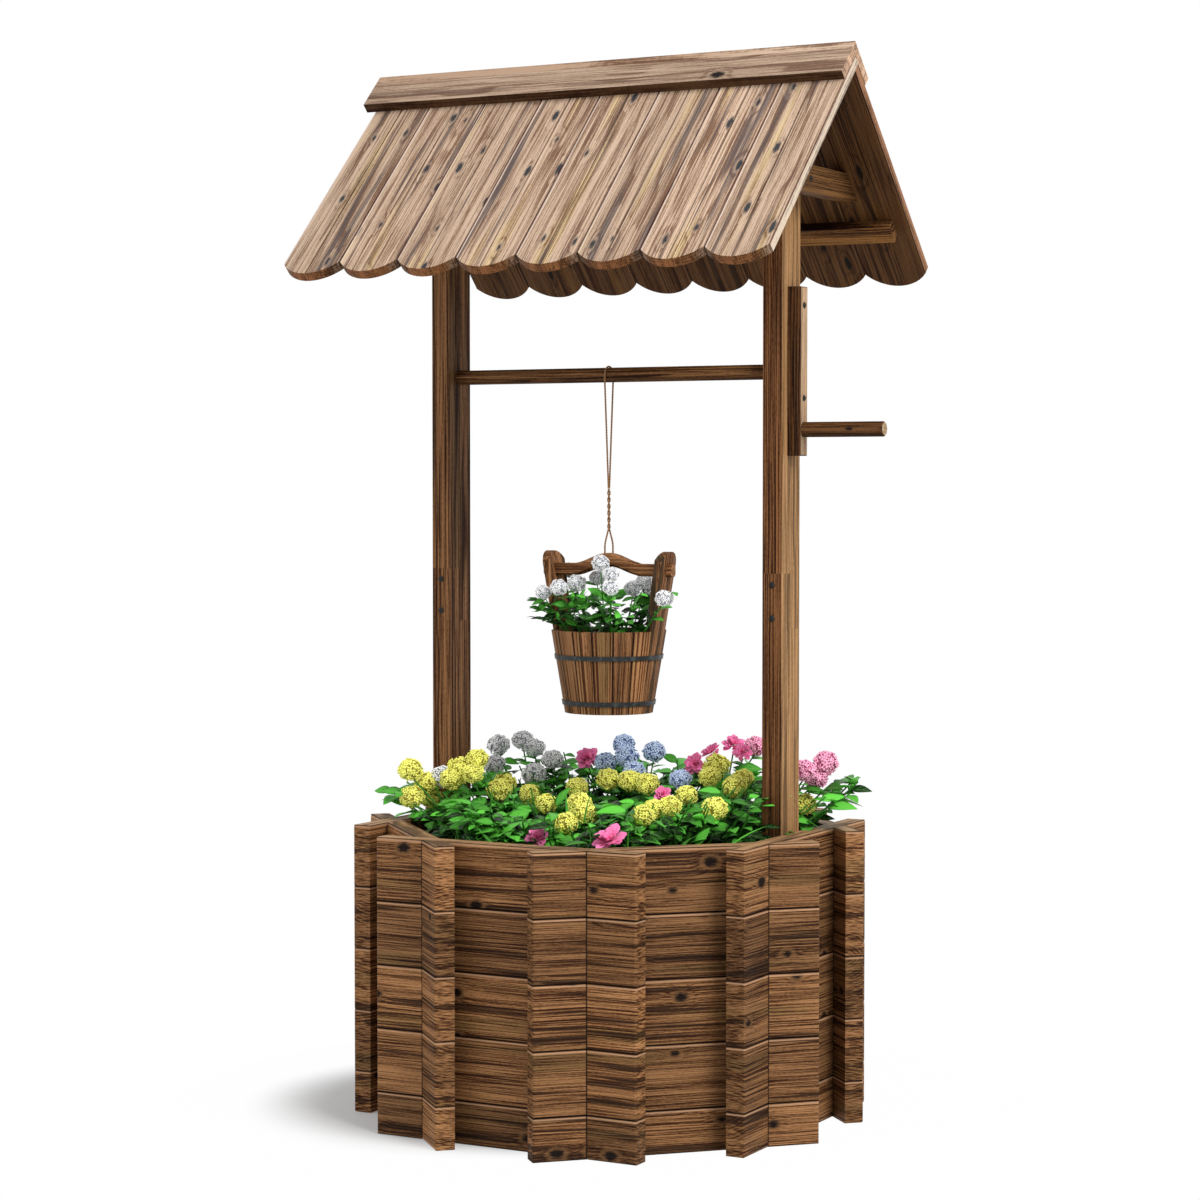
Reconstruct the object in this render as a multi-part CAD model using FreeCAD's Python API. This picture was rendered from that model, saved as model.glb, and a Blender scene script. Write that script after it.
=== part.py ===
import FreeCAD, Part
import math
import os

# Wishing well planter, in millimetres.
# Origin: centre of the octagonal tub on the ground. X runs along the roof ridge, -Y is the front, +Z is up.

# Whole object
total_height = 1140.0          # ground to the top of the ridge cap

# Octagonal tub of notched boards
tub_across_flats = 470.0       # over the outer faces of two opposite walls
board_thickness = 21.0
board_height = 67.0            # a full course
base_board_height = 45.0       # the narrow course on the ground
full_courses = 4
end_projection = 56.0          # board end beyond the crossing, along the outer face
board_ease = 1.3               # bevel on the outer edges of each board
notch_clearance = 0.15         # each side of a notch

# Floor inside the tub
floor_bearer_width = 22.0
floor_bearer_height = 42.0      # the bearers lie on the ground
floor_bearer_offset = 125.0    # outer bearers' centre from the X axis
floor_slat_thickness = 11.0
floor_slat_width = 42.0
floor_slat_gap = 9.0
floor_slat_count = 8
floor_edge_gap = 0.5           # floor pieces to the tub's inner faces

# Planting in the tub
soil_gap = 0.3                 # soil and plants to what carries them and what they lie against
soil_edge_height = 290.0       # top of the soil at the boards
soil_crown = 6.0               # middle of the soil above its edge
soil_flat_share = 0.35         # level middle of the soil, as a share of its radius
plants_radius = 211.0
plants_height = 62.0           # soil's middle up to the tops of the middle plants
plants_rise = 16.0             # degrees, the plants get taller towards the rear
plants_ring_shares = ((0.0, 0.94), (0.4, 1.0), (0.75, 0.9), (1.0, 0.62))   # of the height and the radius

# Posts, each of two lengths joined by a half-lap
post_width = 22.0              # along X
post_depth = 45.0              # along Y
post_top_recess = 1.0          # post's top below the top of the tie
splice_bottom = 529.0
splice_length = 59.0

# Rod between the posts
rod_diameter = 16.0
rod_place_share = 0.7226       # rod's axis between the tub's rim and the underside of the ties
rod_socket_depth = 12.0        # blind socket in the left post
dowel_clearance = 0.1          # radial, rod and handle in their holes

# Crank on the right post
crank_arm_length = 177.0
crank_arm_width = 18.0
crank_arm_thickness = 15.0
crank_arm_bevel = 1.0
crank_handle_diameter = 16.0
crank_handle_reach = 91.5      # handle beyond the outer face of the arm
crank_handle_socket = 10.0
crank_handle_inset = 27.5      # handle axis above the arm's lower end
crank_screw_inset = 19.5       # upper screw below the arm's upper end
crank_screw_drop = 28.0        # lower screw below the rod axis
dowel_end_bevel = 1.2

# Roof
roof_pitch = 45.0
roof_length = 572.0
roof_boards_per_slope = 8
roof_board_thickness = 11.0
roof_board_gap = 0.4
front_slope_length = 293.0     # ridge line to the notch between two scallops
rear_slope_length = 288.0
scallop_drop = 17.5            # rounded end below that notch
groove_width = 2.6             # V groove along the middle and the edges of a roof board
groove_depth = 1.3
cap_overhang_left = 10.0       # ridge cap beyond the roof boards
cap_overhang_right = 0.0
cap_thickness = 11.0
cap_width = 49.0               # wider cap board, on the rear slope

# Roof frame
tie_thickness = 22.0
tie_height = 28.0
tie_drop = 137.5               # ridge line down to the underside of the tie
batten_width = 22.0
batten_thickness = 12.0
batten_inset = 17.0            # each end short of the roof boards
batten_slope_place = 222.0     # ridge line to the middle of the batten, down the slope

# Screws
screw_head_diameter = 6.6
screw_head_height = 1.5
screw_head_crown = 0.55        # flat middle of the head, as a share of its radius
screw_head_side = 0.4          # straight side of the head, as a share of its height
screw_shank_diameter = 3.6
screw_recess_length = 3.2      # cross recess in the flat of the head
screw_recess_width = 0.8
screw_recess_depth = 0.9
screw_hole_clearance = 0.1     # radial
splice_screw_inset = 12.0      # from each end of the splice
splice_screw_length = 34.0
crank_screw_length = 30.0
tie_screw_length = 36.0
post_screw_length = 36.0

# Hanging place of the bucket along the rod
hang_x = -3.0

# Coopered bucket
bucket_height = 89.5
bucket_base_radius = 48.0
bucket_rim_radius = 62.7
stave_thickness = 9.0
plain_staves_per_side = 7
ear_half_angle = 14.5          # degrees, half of an ear stave seen from above
stave_gap = 0.12               # degrees taken off each side of a stave
ear_height = 86.0              # ear stave above the rim
ear_crown = 17.0               # height of its rounded top
bucket_floor_inset = 6.0
bucket_floor_thickness = 8.0
bucket_floor_gap = 0.2
hoop_height = 5.0
hoop_thickness = 1.2
hoop_gap = 0.1
hoop_lower_height = 8.8        # lower edge above the bucket's foot
hoop_upper_height = 58.5

# Handle bar through the two ears
bar_depth = 11.0
bar_end_height = 13.5
bar_middle_height = 14.5
bar_foot_height = 148.5        # underside of the bar's ends above the bucket's foot
bucket_clearance = 75.2        # bucket's foot above the tops of the middle plants
bar_hump = 11.5                # top of the hump above the top of the bar's ends
bar_hump_half_width = 44.0
bar_hump_steps = 12            # stretches that the hump's curve is drawn in
bar_overhang = 5.0             # tenon beyond the outer face of the ear
bar_bevel = 2.5
mortise_clearance = 0.15

# Cord, from the rod to the handle bar
cord_diameter = 2.0
cord_clearance = 0.3           # to the rod and to the bar
cord_pair_gap = 0.1            # between the two strands where they run together
cord_joint_gap = 0.35          # between two lengths of cord that turn on each other
twist_rise = 51.0              # underside of the bar's ends up to the foot of the twist
twist_length = 44.0
eye_shoulder_drop = 16.0       # the strands have spread fully this far below the twist
eye_shoulder_share = 0.45      # part of the shorter run that the shoulder's bend takes

# Worked-out sizes
SIDE_ANGLE = 45.0              # between two neighbouring sides of the octagon
HALF_TURN = 180.0
apothem = tub_across_flats / 2.0
half_face = apothem * math.tan(math.radians(SIDE_ANGLE / 2.0))
board_length = 2.0 * (half_face + end_projection)
tub_height = base_board_height + full_courses * board_height
floor_top = floor_bearer_height + floor_slat_thickness
post_screw_heights = (base_board_height + board_height / 2.0, tub_height - board_height / 2.0)
inner_apothem = apothem - board_thickness
post_outer_x = inner_apothem
post_centre_x = post_outer_x - post_width / 2.0
tie_outer_x = post_outer_x + tie_thickness
pitch = math.radians(roof_pitch)
roof_apex = total_height - cap_thickness / math.cos(pitch)
tie_bottom = roof_apex - tie_drop
tie_top = tie_bottom + tie_height
post_top = tie_top - post_top_recess
splice_top = splice_bottom + splice_length
rod_height = tub_height + rod_place_share * (tie_bottom - tub_height)
crank_handle_height = rod_height - crank_arm_length / 2.0 + crank_handle_inset
plants_base = soil_edge_height + soil_crown + soil_gap
bucket_bottom_z = plants_base + plants_height + bucket_clearance
bar_end_bottom = bucket_bottom_z + bar_foot_height
twist_bottom = bar_end_bottom + twist_rise
twist_top = twist_bottom + twist_length
roof_board_width = (roof_length - (roof_boards_per_slope - 1) * roof_board_gap) / roof_boards_per_slope
cord_radius = cord_diameter / 2.0
pair_half = cord_radius + cord_pair_gap / 2.0
bar_end_top = bar_end_bottom + bar_end_height
bar_middle_z = bar_end_top + bar_hump - bar_middle_height / 2.0

X_AXIS = FreeCAD.Vector(1, 0, 0)
Y_AXIS = FreeCAD.Vector(0, 1, 0)
Z_AXIS = FreeCAD.Vector(0, 0, 1)
CENTRE = FreeCAD.Vector(0, 0, 0)
BEYOND = 5.0                   # how far a cutting tool runs past what it cuts
NEAR = 0.001                   # closeness that counts as lying on a plane


def vec(x, y, z):
    return FreeCAD.Vector(x, y, z)


def box(x0, x1, y0, y1, z0, z1):
    """Box between two corners."""
    return Part.makeBox(x1 - x0, y1 - y0, z1 - z0, vec(x0, y0, z0))


def prism(points, direction):
    """Solid made by sliding a closed outline of points along a direction."""
    return Part.Face(Part.makePolygon(points + [points[0]])).extrude(direction)


def prism_x(outline, x0, x1):
    """Prism along X from an outline of (y, z) points."""
    return prism([vec(x0, y, z) for y, z in outline], vec(x1 - x0, 0, 0))


def prism_z(outline, z0, z1):
    """Prism along Z from an outline of (x, y) points."""
    return prism([vec(x, y, z0) for x, y in outline], vec(0, 0, z1 - z0))


def turned(shape, axis, degrees, centre=CENTRE):
    """Copy of a shape, turned about an axis through a centre."""
    copy = shape.copy()
    copy.rotate(centre, axis, degrees)
    return copy


def moved(shape, x, y, z):
    """Copy of a shape, moved."""
    copy = shape.copy()
    copy.translate(vec(x, y, z))
    return copy


def octagon(apothem_size, z0, z1):
    """Octagonal prism with flats that face X and Y."""
    corner = apothem_size * math.tan(math.radians(SIDE_ANGLE / 2.0))
    outline = [(apothem_size, -corner), (apothem_size, corner), (corner, apothem_size),
               (-corner, apothem_size), (-apothem_size, corner), (-apothem_size, -corner),
               (-corner, -apothem_size), (corner, -apothem_size)]
    return prism_z(outline, z0, z1)


def save(name, solids):
    """Write one node: a single solid, or a group of separate solids."""
    shape = solids[0] if len(solids) == 1 else Part.makeCompound(solids)
    for solid in shape.Solids:
        if not solid.isValid() or solid.Volume <= 0:
            raise ValueError(name + " holds a bad solid")
    shape.exportStep(os.path.join("parts", name + ".step"))


# Tub walls

def wall_board(bottom, height):
    """Front board with bevelled outer edges and ends, before its notches are cut."""
    outer = -apothem
    inner = -inner_apothem
    top = bottom + height
    section = [(outer + board_ease, bottom), (outer, bottom + board_ease), (outer, top - board_ease),
               (outer + board_ease, top), (inner, top), (inner, bottom)]
    half = board_length / 2.0
    plan = [(-half + board_ease, outer), (half - board_ease, outer), (half, outer + board_ease),
            (half, inner), (-half, inner), (-half, outer + board_ease)]
    return prism_x(section, -half, half).common(prism_z(plan, bottom, top))


def notch(bottom, top, side):
    """Slanted notch where the next wall's board crosses the front board."""
    cutter = box(-board_length, board_length, -apothem - notch_clearance, -inner_apothem + notch_clearance,
                 bottom, top)
    return turned(cutter, Z_AXIS, SIDE_ANGLE * side)


def wall(side):
    """One wall: a stack of boards. Walls that face X or Y are notched from below, the others from above."""
    notched_below = side % 2 == 0
    boards = []
    bottom = 0.0
    for course in range(full_courses + 1):
        height = base_board_height if course == 0 else board_height
        middle = bottom + height / 2.0
        notch_bottom = bottom - BEYOND if notched_below else middle
        notch_top = middle if notched_below else bottom + height + BEYOND
        board = wall_board(bottom, height)
        board = board.cut(notch(notch_bottom, notch_top, 1))
        board = board.cut(notch(notch_bottom, notch_top, -1))
        boards.append(board)
        bottom += height
    return [turned(board, Z_AXIS, SIDE_ANGLE * side) for board in boards]


def build_tub(screw_holes):
    names = ["front", "front_right", "right", "rear_right", "rear", "rear_left", "left", "front_left"]
    for side, name in enumerate(names):
        boards = wall(side)
        if name in ("left", "right"):
            boards = [board.cut(screw_holes) for board in boards]
        save("wall_" + name, boards)


# Floor

def post_rooms(gap):
    """Room for both posts, with a gap round them, to cut from what lies inside the tub."""
    half = post_depth / 2.0 + gap
    inner = post_outer_x - post_width - gap
    left = box(-apothem, -inner, -half, half, 0, post_top)
    right = box(inner, apothem, -half, half, 0, post_top)
    return Part.makeCompound([left, right])


def floor_bearer(y, half_length):
    """Bearer along X, with its ends mitred where they meet the slanting walls."""
    blank = box(-half_length, half_length, y - floor_bearer_width / 2.0, y + floor_bearer_width / 2.0,
                0, floor_bearer_height)
    return blank.common(octagon(inner_apothem - floor_edge_gap, 0, tub_height))


def floor_slats():
    """Row of slats along Y with drainage gaps, trimmed to the tub and notched round the posts."""
    tub_inside = octagon(inner_apothem - floor_edge_gap, 0, tub_height)
    step = floor_slat_width + floor_slat_gap
    slats = []
    for index in range(floor_slat_count):
        x = (index - (floor_slat_count - 1) / 2.0) * step
        slat = box(x - floor_slat_width / 2.0, x + floor_slat_width / 2.0, -apothem, apothem,
                   floor_bearer_height, floor_top).common(tub_inside)
        slats.append(slat.cut(post_rooms(floor_edge_gap)))
    return slats


def build_floor():
    between_posts = post_outer_x - post_width - floor_edge_gap
    save("floor_bearer_front", [floor_bearer(-floor_bearer_offset, apothem)])
    save("floor_bearer_middle", [floor_bearer(0, between_posts)])
    save("floor_bearer_rear", [floor_bearer(floor_bearer_offset, apothem)])
    save("floor_slats", floor_slats())


# Planting

def tub_soil():
    """Soil from the floor up to just under the rim, heaped a little in the middle."""
    inner = inner_apothem - soil_gap
    heap = Part.makeCone(inner, inner * soil_flat_share, soil_crown, vec(0, 0, soil_edge_height))
    soil = octagon(inner, floor_top + soil_gap, soil_edge_height).fuse(heap)
    return soil.cut(post_rooms(soil_gap + screw_head_height))


def tub_plants():
    """Outer form of leaves and flowers: a low mound on the soil that rises towards the rear."""
    rings = []
    for height, radius in plants_ring_shares:
        ring = Part.Wire(Part.makeCircle(radius * plants_radius))
        ring = turned(ring, X_AXIS, height * plants_rise)
        rings.append(moved(ring, 0, 0, plants_base + height * plants_height))
    mound = Part.makeLoft(rings, True, True)
    return mound.cut(post_rooms(soil_gap + screw_head_height))


def build_planting():
    save("tub_soil", [tub_soil()])
    save("tub_plants", [tub_plants()])


# Screws

def screw_recess():
    """Cross-shaped cutter for the top of a screw's head."""
    long = screw_recess_length / 2.0
    narrow = screw_recess_width / 2.0
    low = screw_head_height - screw_recess_depth
    high = screw_head_height + BEYOND
    return box(-long, long, -narrow, narrow, low, high).fuse(box(-narrow, narrow, -long, long, low, high))


def screw(length):
    """Pan-head screw that points down, with the underside of its head at the origin."""
    head = screw_head_diameter / 2.0
    shank = screw_shank_diameter / 2.0
    profile = [(0, screw_head_height), (head * screw_head_crown, screw_head_height),
               (head, screw_head_height * screw_head_side), (head, 0), (shank, 0), (shank, -length + shank),
               (0, -length)]
    points = [vec(r, 0, z) for r, z in profile]
    body = Part.Face(Part.makePolygon(points + [points[0]])).revolve(CENTRE, Z_AXIS, 2.0 * HALF_TURN)
    return body.cut(screw_recess())


def screw_hole(length):
    """Pilot hole for that screw."""
    radius = screw_shank_diameter / 2.0 + screw_hole_clearance
    depth = length + 2 * screw_hole_clearance + BEYOND
    return Part.makeCylinder(radius, depth, vec(0, 0, BEYOND), vec(0, 0, -1))


def driven_along(shape, direction):
    """Shape turned from pointing down to pointing along +X, -X or +Y."""
    if direction == "+X":
        return turned(shape, Y_AXIS, -90.0)
    if direction == "-X":
        return turned(shape, Y_AXIS, 90.0)
    return turned(shape, X_AXIS, 90.0)


def screws_at(places, length, direction):
    """Screws and their holes, with the heads seated at the given places."""
    screws = [moved(driven_along(screw(length), direction), *place) for place in places]
    holes = [moved(driven_along(screw_hole(length), direction), *place) for place in places]
    return screws, Part.makeCompound(holes)


def splice_screw_places():
    heights = (splice_bottom + splice_screw_inset, splice_top - splice_screw_inset)
    return [(sign * post_centre_x, -post_depth / 2.0, z) for sign in (-1, 1) for z in heights]


def crank_screw_places():
    face = post_outer_x + crank_arm_thickness
    upper = rod_height + crank_arm_length / 2.0 - crank_screw_inset
    return [(face, 0, upper), (face, 0, rod_height - crank_screw_drop)]


# Posts, rod and crank

def post_lower(sign):
    """Lower length: full section, with its front half carried up through the splice."""
    front = -post_depth / 2.0
    rear = post_depth / 2.0
    outline = [(front, 0), (rear, 0), (rear, splice_bottom), (0, splice_bottom), (0, splice_top),
               (front, splice_top)]
    return prism_x(outline, sign * post_centre_x - post_width / 2.0, sign * post_centre_x + post_width / 2.0)


def post_upper(sign):
    """Upper length: full section, with its rear half carried down through the splice."""
    front = -post_depth / 2.0
    rear = post_depth / 2.0
    outline = [(front, splice_top), (0, splice_top), (0, splice_bottom), (rear, splice_bottom),
               (rear, post_top), (front, post_top)]
    return prism_x(outline, sign * post_centre_x - post_width / 2.0, sign * post_centre_x + post_width / 2.0)


def dowel(diameter, x0, x1):
    """Round dowel along X at the origin's height, with a bevelled end at x1."""
    radius = diameter / 2.0
    bevel = dowel_end_bevel
    body = Part.makeCylinder(radius, x1 - x0 - bevel, vec(x0, 0, 0), X_AXIS)
    end = Part.makeCone(radius, radius - bevel, bevel, vec(x1 - bevel, 0, 0), X_AXIS)
    return body.fuse(end).removeSplitter()


def dowel_hole(diameter, x0, x1):
    return Part.makeCylinder(diameter / 2.0 + dowel_clearance, x1 - x0, vec(x0, 0, 0), X_AXIS)


def rod():
    """Rod from its blind socket in the left post, through the right post, to the back of the crank arm."""
    left = -post_outer_x + post_width - rod_socket_depth
    return moved(dowel(rod_diameter, left, post_outer_x), 0, 0, rod_height)


def rod_holes():
    left = moved(dowel_hole(rod_diameter, -post_outer_x + post_width - rod_socket_depth - dowel_clearance,
                            -post_outer_x + post_width + BEYOND), 0, 0, rod_height)
    right = moved(dowel_hole(rod_diameter, post_outer_x - post_width - BEYOND, post_outer_x + BEYOND),
                  0, 0, rod_height)
    return left, right


def crank_arm():
    half_width = crank_arm_width / 2.0
    blank = box(post_outer_x, post_outer_x + crank_arm_thickness, -half_width, half_width,
                rod_height - crank_arm_length / 2.0, rod_height + crank_arm_length / 2.0)
    face = post_outer_x + crank_arm_thickness
    face_edges = [edge for edge in blank.Edges if edge.BoundBox.XMin > face - NEAR]
    blank = blank.makeChamfer(crank_arm_bevel, face_edges)
    socket = dowel_hole(crank_handle_diameter, face - crank_handle_socket - dowel_clearance, face + BEYOND)
    return blank.cut(moved(socket, 0, 0, crank_handle_height))


def crank_handle():
    face = post_outer_x + crank_arm_thickness
    return moved(dowel(crank_handle_diameter, face - crank_handle_socket, face + crank_handle_reach),
                 0, 0, crank_handle_height)


def build_frame(post_screw_holes):
    splice_screws, splice_holes = screws_at(splice_screw_places(), splice_screw_length, "+Y")
    crank_screws, crank_holes = screws_at(crank_screw_places(), crank_screw_length, "-X")
    tie_middle = (tie_bottom + tie_top) / 2.0
    right_screws, right_holes = screws_at([(tie_outer_x, 0, tie_middle)], tie_screw_length, "-X")
    left_screws, left_holes = screws_at([(-tie_outer_x, 0, tie_middle)], tie_screw_length, "+X")
    left_rod_hole, right_rod_hole = rod_holes()
    for name, sign, rod_hole in (("left", -1, left_rod_hole), ("right", 1, right_rod_hole)):
        lower = post_lower(sign).cut(splice_holes).cut(post_screw_holes)
        upper = post_upper(sign)
        for holes in (splice_holes, crank_holes, rod_hole, right_holes, left_holes):
            upper = upper.cut(holes)
        save("post_" + name + "_lower", [lower])
        save("post_" + name + "_upper", [upper])
    save("rod", [rod()])
    save("crank_arm", [crank_arm().cut(crank_holes)])
    save("crank_handle", [crank_handle()])
    save("splice_screws", splice_screws)
    save("crank_screws", crank_screws)
    save("tie_screws", right_screws + left_screws)
    save("gable_tie_right", [gable_tie(1).cut(right_holes)])
    save("gable_tie_left", [gable_tie(-1).cut(left_holes)])


# Roof

def ridge_point(front_offset, rear_offset):
    """(y, z) where a plane that far outside the front slope meets one that far outside the rear slope."""
    y = (rear_offset - front_offset) / (2.0 * math.sin(pitch))
    z = roof_apex + (front_offset + rear_offset) / (2.0 * math.cos(pitch))
    return (y, z)


def slope_point(side, down, outwards):
    """(y, z) on the front (side -1) or rear (side 1) slope: down the slope, then out from its surface."""
    y = side * (down * math.cos(pitch) + outwards * math.sin(pitch))
    z = roof_apex - down * math.sin(pitch) + outwards * math.cos(pitch)
    return (y, z)


def slope_turned(shape, side):
    """Shape drawn flat, with the ridge along X and down-slope along -Y, laid on a slope."""
    laid = turned(shape, X_AXIS, roof_pitch)
    if side > 0:
        laid = turned(laid, Z_AXIS, HALF_TURN)
    return moved(laid, 0, 0, roof_apex)


def slope_length(side):
    return rear_slope_length if side > 0 else front_slope_length


def scallop_outline(side, x):
    """Cutting form of one roof board, seen square to the slope: straight sides and one rounded end."""
    half = roof_board_width / 2.0
    top = roof_board_thickness + cap_thickness
    low = -slope_length(side)
    flat = side * -x
    z = -2.0 * roof_board_thickness
    left = vec(flat - half, low, z)
    right = vec(flat + half, low, z)
    edges = [Part.LineSegment(vec(flat - half, top, z), left).toShape(),
             Part.Arc(left, vec(flat, low - scallop_drop, z), right).toShape(),
             Part.LineSegment(right, vec(flat + half, top, z)).toShape(),
             Part.LineSegment(vec(flat + half, top, z), vec(flat - half, top, z)).toShape()]
    return slope_turned(Part.Face(Part.Wire(edges)).extrude(vec(0, 0, 4.0 * roof_board_thickness)), side)


def groove(side, x):
    """V cutter that runs down the slope in the roof's outer surface."""
    flat = side * -x
    reach = slope_length(side) + scallop_drop + BEYOND
    slant = groove_depth / (groove_width / 2.0)
    half = groove_width
    section = [vec(flat, -reach, -groove_depth), vec(flat + half, -reach, half * slant - groove_depth),
               vec(flat - half, -reach, half * slant - groove_depth)]
    return slope_turned(prism(section, vec(0, reach + BEYOND, 0)), side)


def roof_board(side, index):
    """Roof board. The front boards run over the upper ends of the rear boards at the ridge."""
    x = (index - (roof_boards_per_slope - 1) / 2.0) * (roof_board_width + roof_board_gap)
    under = -roof_board_thickness
    length = slope_length(side) + scallop_drop + BEYOND
    if side < 0:
        outline = [ridge_point(0, 0), ridge_point(under, 0)]
    else:
        outline = [ridge_point(under, 0), ridge_point(under, under)]
    outline = outline + [slope_point(side, length, under), slope_point(side, length, 0)]
    half = roof_board_width / 2.0
    board = prism_x(outline, x - half, x + half).common(scallop_outline(side, x))
    for place in (x - half, x, x + half):
        board = board.cut(groove(side, place))
    return board


def cap_boards():
    """Two ridge cap boards: the rear one runs over the upper edge of the front one."""
    x0 = -roof_length / 2.0 - cap_overhang_left
    x1 = roof_length / 2.0 + cap_overhang_right
    rear = [ridge_point(cap_thickness, cap_thickness), ridge_point(cap_thickness, 0)]
    front = [ridge_point(cap_thickness, 0), ridge_point(0, 0)]
    down = cap_width - cap_thickness * math.tan(pitch)
    rear = rear + [slope_point(1, down, 0), slope_point(1, down, cap_thickness)]
    front = front + [slope_point(-1, down, 0), slope_point(-1, down, cap_thickness)]
    return prism_x(front, x0, x1), prism_x(rear, x0, x1)


def gable_tie(sign):
    """Cross-piece on the outside of a post, with its ends cut to lie under both slopes."""
    outline = []
    for side, heights in ((-1, (tie_bottom, tie_top)), (1, (tie_top, tie_bottom))):
        for z in heights:
            under = roof_apex - roof_board_thickness / math.cos(pitch) - z
            outline.append((side * under / math.tan(pitch), z))
    near, far = sorted((sign * post_outer_x, sign * tie_outer_x))
    return prism_x(outline, near, far)


def roof_batten(side):
    """Batten under a slope, along the ridge, that the roof boards are fixed to."""
    upper = batten_slope_place - batten_width / 2.0
    lower = batten_slope_place + batten_width / 2.0
    under = -roof_board_thickness
    inner = under - batten_thickness
    outline = [slope_point(side, upper, under), slope_point(side, upper, inner),
               slope_point(side, lower, inner), slope_point(side, lower, under)]
    half = roof_length / 2.0 - batten_inset
    return prism_x(outline, -half, half)


def build_roof():
    for name, side in (("front", -1), ("rear", 1)):
        for index in range(roof_boards_per_slope):
            save("roof_board_%s_%d" % (name, index + 1), [roof_board(side, index)])
        save("roof_batten_" + name, [roof_batten(side)])
    front, rear = cap_boards()
    save("ridge_cap_front", [front])
    save("ridge_cap_rear", [rear])


# Bucket

def bucket_radius(z):
    """Outer radius of the bucket's cone at a height above the ground."""
    slope = (bucket_rim_radius - bucket_base_radius) / bucket_height
    return bucket_base_radius + slope * (z - bucket_bottom_z)


def cone(z0, z1, inset, angle=2.0 * HALF_TURN):
    """Part of the bucket's cone, drawn in by an inset."""
    return Part.makeCone(bucket_radius(z0) - inset, bucket_radius(z1) - inset, z1 - z0, vec(hang_x, 0, z0),
                         Z_AXIS, angle)


def stave(start, span, top):
    """Stave: a slice of the conical wall between two planes through the axis."""
    wall_slice = cone(bucket_bottom_z, top, 0, span).cut(cone(bucket_bottom_z, top, stave_thickness, span))
    return turned(wall_slice, Z_AXIS, start, vec(hang_x, 0, 0))


def plain_staves():
    span = (HALF_TURN - 2.0 * ear_half_angle) / plain_staves_per_side
    rim = bucket_bottom_z + bucket_height
    staves = []
    for first in (ear_half_angle, HALF_TURN + ear_half_angle):
        for index in range(plain_staves_per_side):
            staves.append(stave(first + index * span + stave_gap, span - 2.0 * stave_gap, rim))
    return staves


def ear_stave(sign):
    """Long stave with a rounded top and a mortise for the handle bar."""
    top = bucket_bottom_z + bucket_height + ear_height
    middle = 0.0 if sign > 0 else HALF_TURN
    blank = stave(middle - ear_half_angle + stave_gap, 2.0 * (ear_half_angle - stave_gap), top)
    half = bucket_radius(top) * math.sin(math.radians(ear_half_angle))
    shoulder = top - ear_crown
    edges = [Part.LineSegment(vec(0, -half, bucket_bottom_z), vec(0, -half, shoulder)).toShape(),
             Part.Arc(vec(0, -half, shoulder), vec(0, 0, top), vec(0, half, shoulder)).toShape(),
             Part.LineSegment(vec(0, half, shoulder), vec(0, half, bucket_bottom_z)).toShape(),
             Part.LineSegment(vec(0, half, bucket_bottom_z), vec(0, -half, bucket_bottom_z)).toShape()]
    form = Part.Face(Part.Wire(edges)).extrude(vec(sign * 2.0 * bucket_rim_radius, 0, 0))
    ear = blank.common(moved(form, hang_x, 0, 0))
    half_depth = bar_depth / 2.0 + mortise_clearance
    near, far = sorted((hang_x, hang_x + sign * 2.0 * bucket_rim_radius))
    mortise = box(near, far, -half_depth, half_depth, bar_end_bottom - mortise_clearance,
                  bar_end_top + mortise_clearance)
    return ear.cut(mortise)


def bucket_floor():
    bottom = bucket_bottom_z + bucket_floor_inset
    return cone(bottom, bottom + bucket_floor_thickness, stave_thickness + bucket_floor_gap)


def hoop(bottom):
    band = cone(bottom, bottom + hoop_height, -hoop_gap - hoop_thickness)
    return band.cut(cone(bottom, bottom + hoop_height, -hoop_gap))


def hump(x):
    """Rise of the bar above its ends: one smooth wave, flat at both sides."""
    if abs(x) >= bar_hump_half_width:
        return 0.0
    return bar_hump * (1.0 + math.cos(math.pi * x / bar_hump_half_width)) / 2.0


def bar_edge(height, swell):
    """Edges along the bar's top or bottom: straight ends and a curved hump between them."""
    half = bucket_radius(bar_end_bottom + bar_end_height / 2.0) + bar_overhang
    rises = []
    for step in range(bar_hump_steps + 1):
        x = -bar_hump_half_width + 2.0 * bar_hump_half_width * step / bar_hump_steps
        rises.append(vec(hang_x + x, -bar_depth / 2.0, height + hump(x) * swell))
    curve = Part.BSplineCurve()
    curve.interpolate(rises, InitialTangent=X_AXIS, FinalTangent=X_AXIS)
    edges = [Part.LineSegment(vec(hang_x - half, -bar_depth / 2.0, height), rises[0]).toShape(),
             curve.toShape(),
             Part.LineSegment(rises[-1], vec(hang_x + half, -bar_depth / 2.0, height)).toShape()]
    return edges


def handle_bar():
    """Hump-backed bar, the same depth all along, with bevelled long edges in the middle stretch."""
    half = bucket_radius(bar_end_bottom + bar_end_height / 2.0) + bar_overhang
    y = -bar_depth / 2.0
    lower_swell = (bar_hump + bar_end_height - bar_middle_height) / bar_hump
    top = bar_edge(bar_end_top, 1.0)
    bottom = bar_edge(bar_end_bottom, lower_swell)
    sides = [Part.LineSegment(vec(hang_x + sign * half, y, bar_end_bottom),
                              vec(hang_x + sign * half, y, bar_end_top)).toShape() for sign in (-1, 1)]
    wire = Part.Wire(Part.__sortEdges__(top + bottom + sides))
    blank = Part.Face(wire).extrude(vec(0, bar_depth, 0))
    humped = [edge for edge in blank.Edges
              if edge.BoundBox.XLength > bar_hump_half_width and edge.BoundBox.ZLength > bar_bevel]
    return blank.makeChamfer(bar_bevel, humped)


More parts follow.
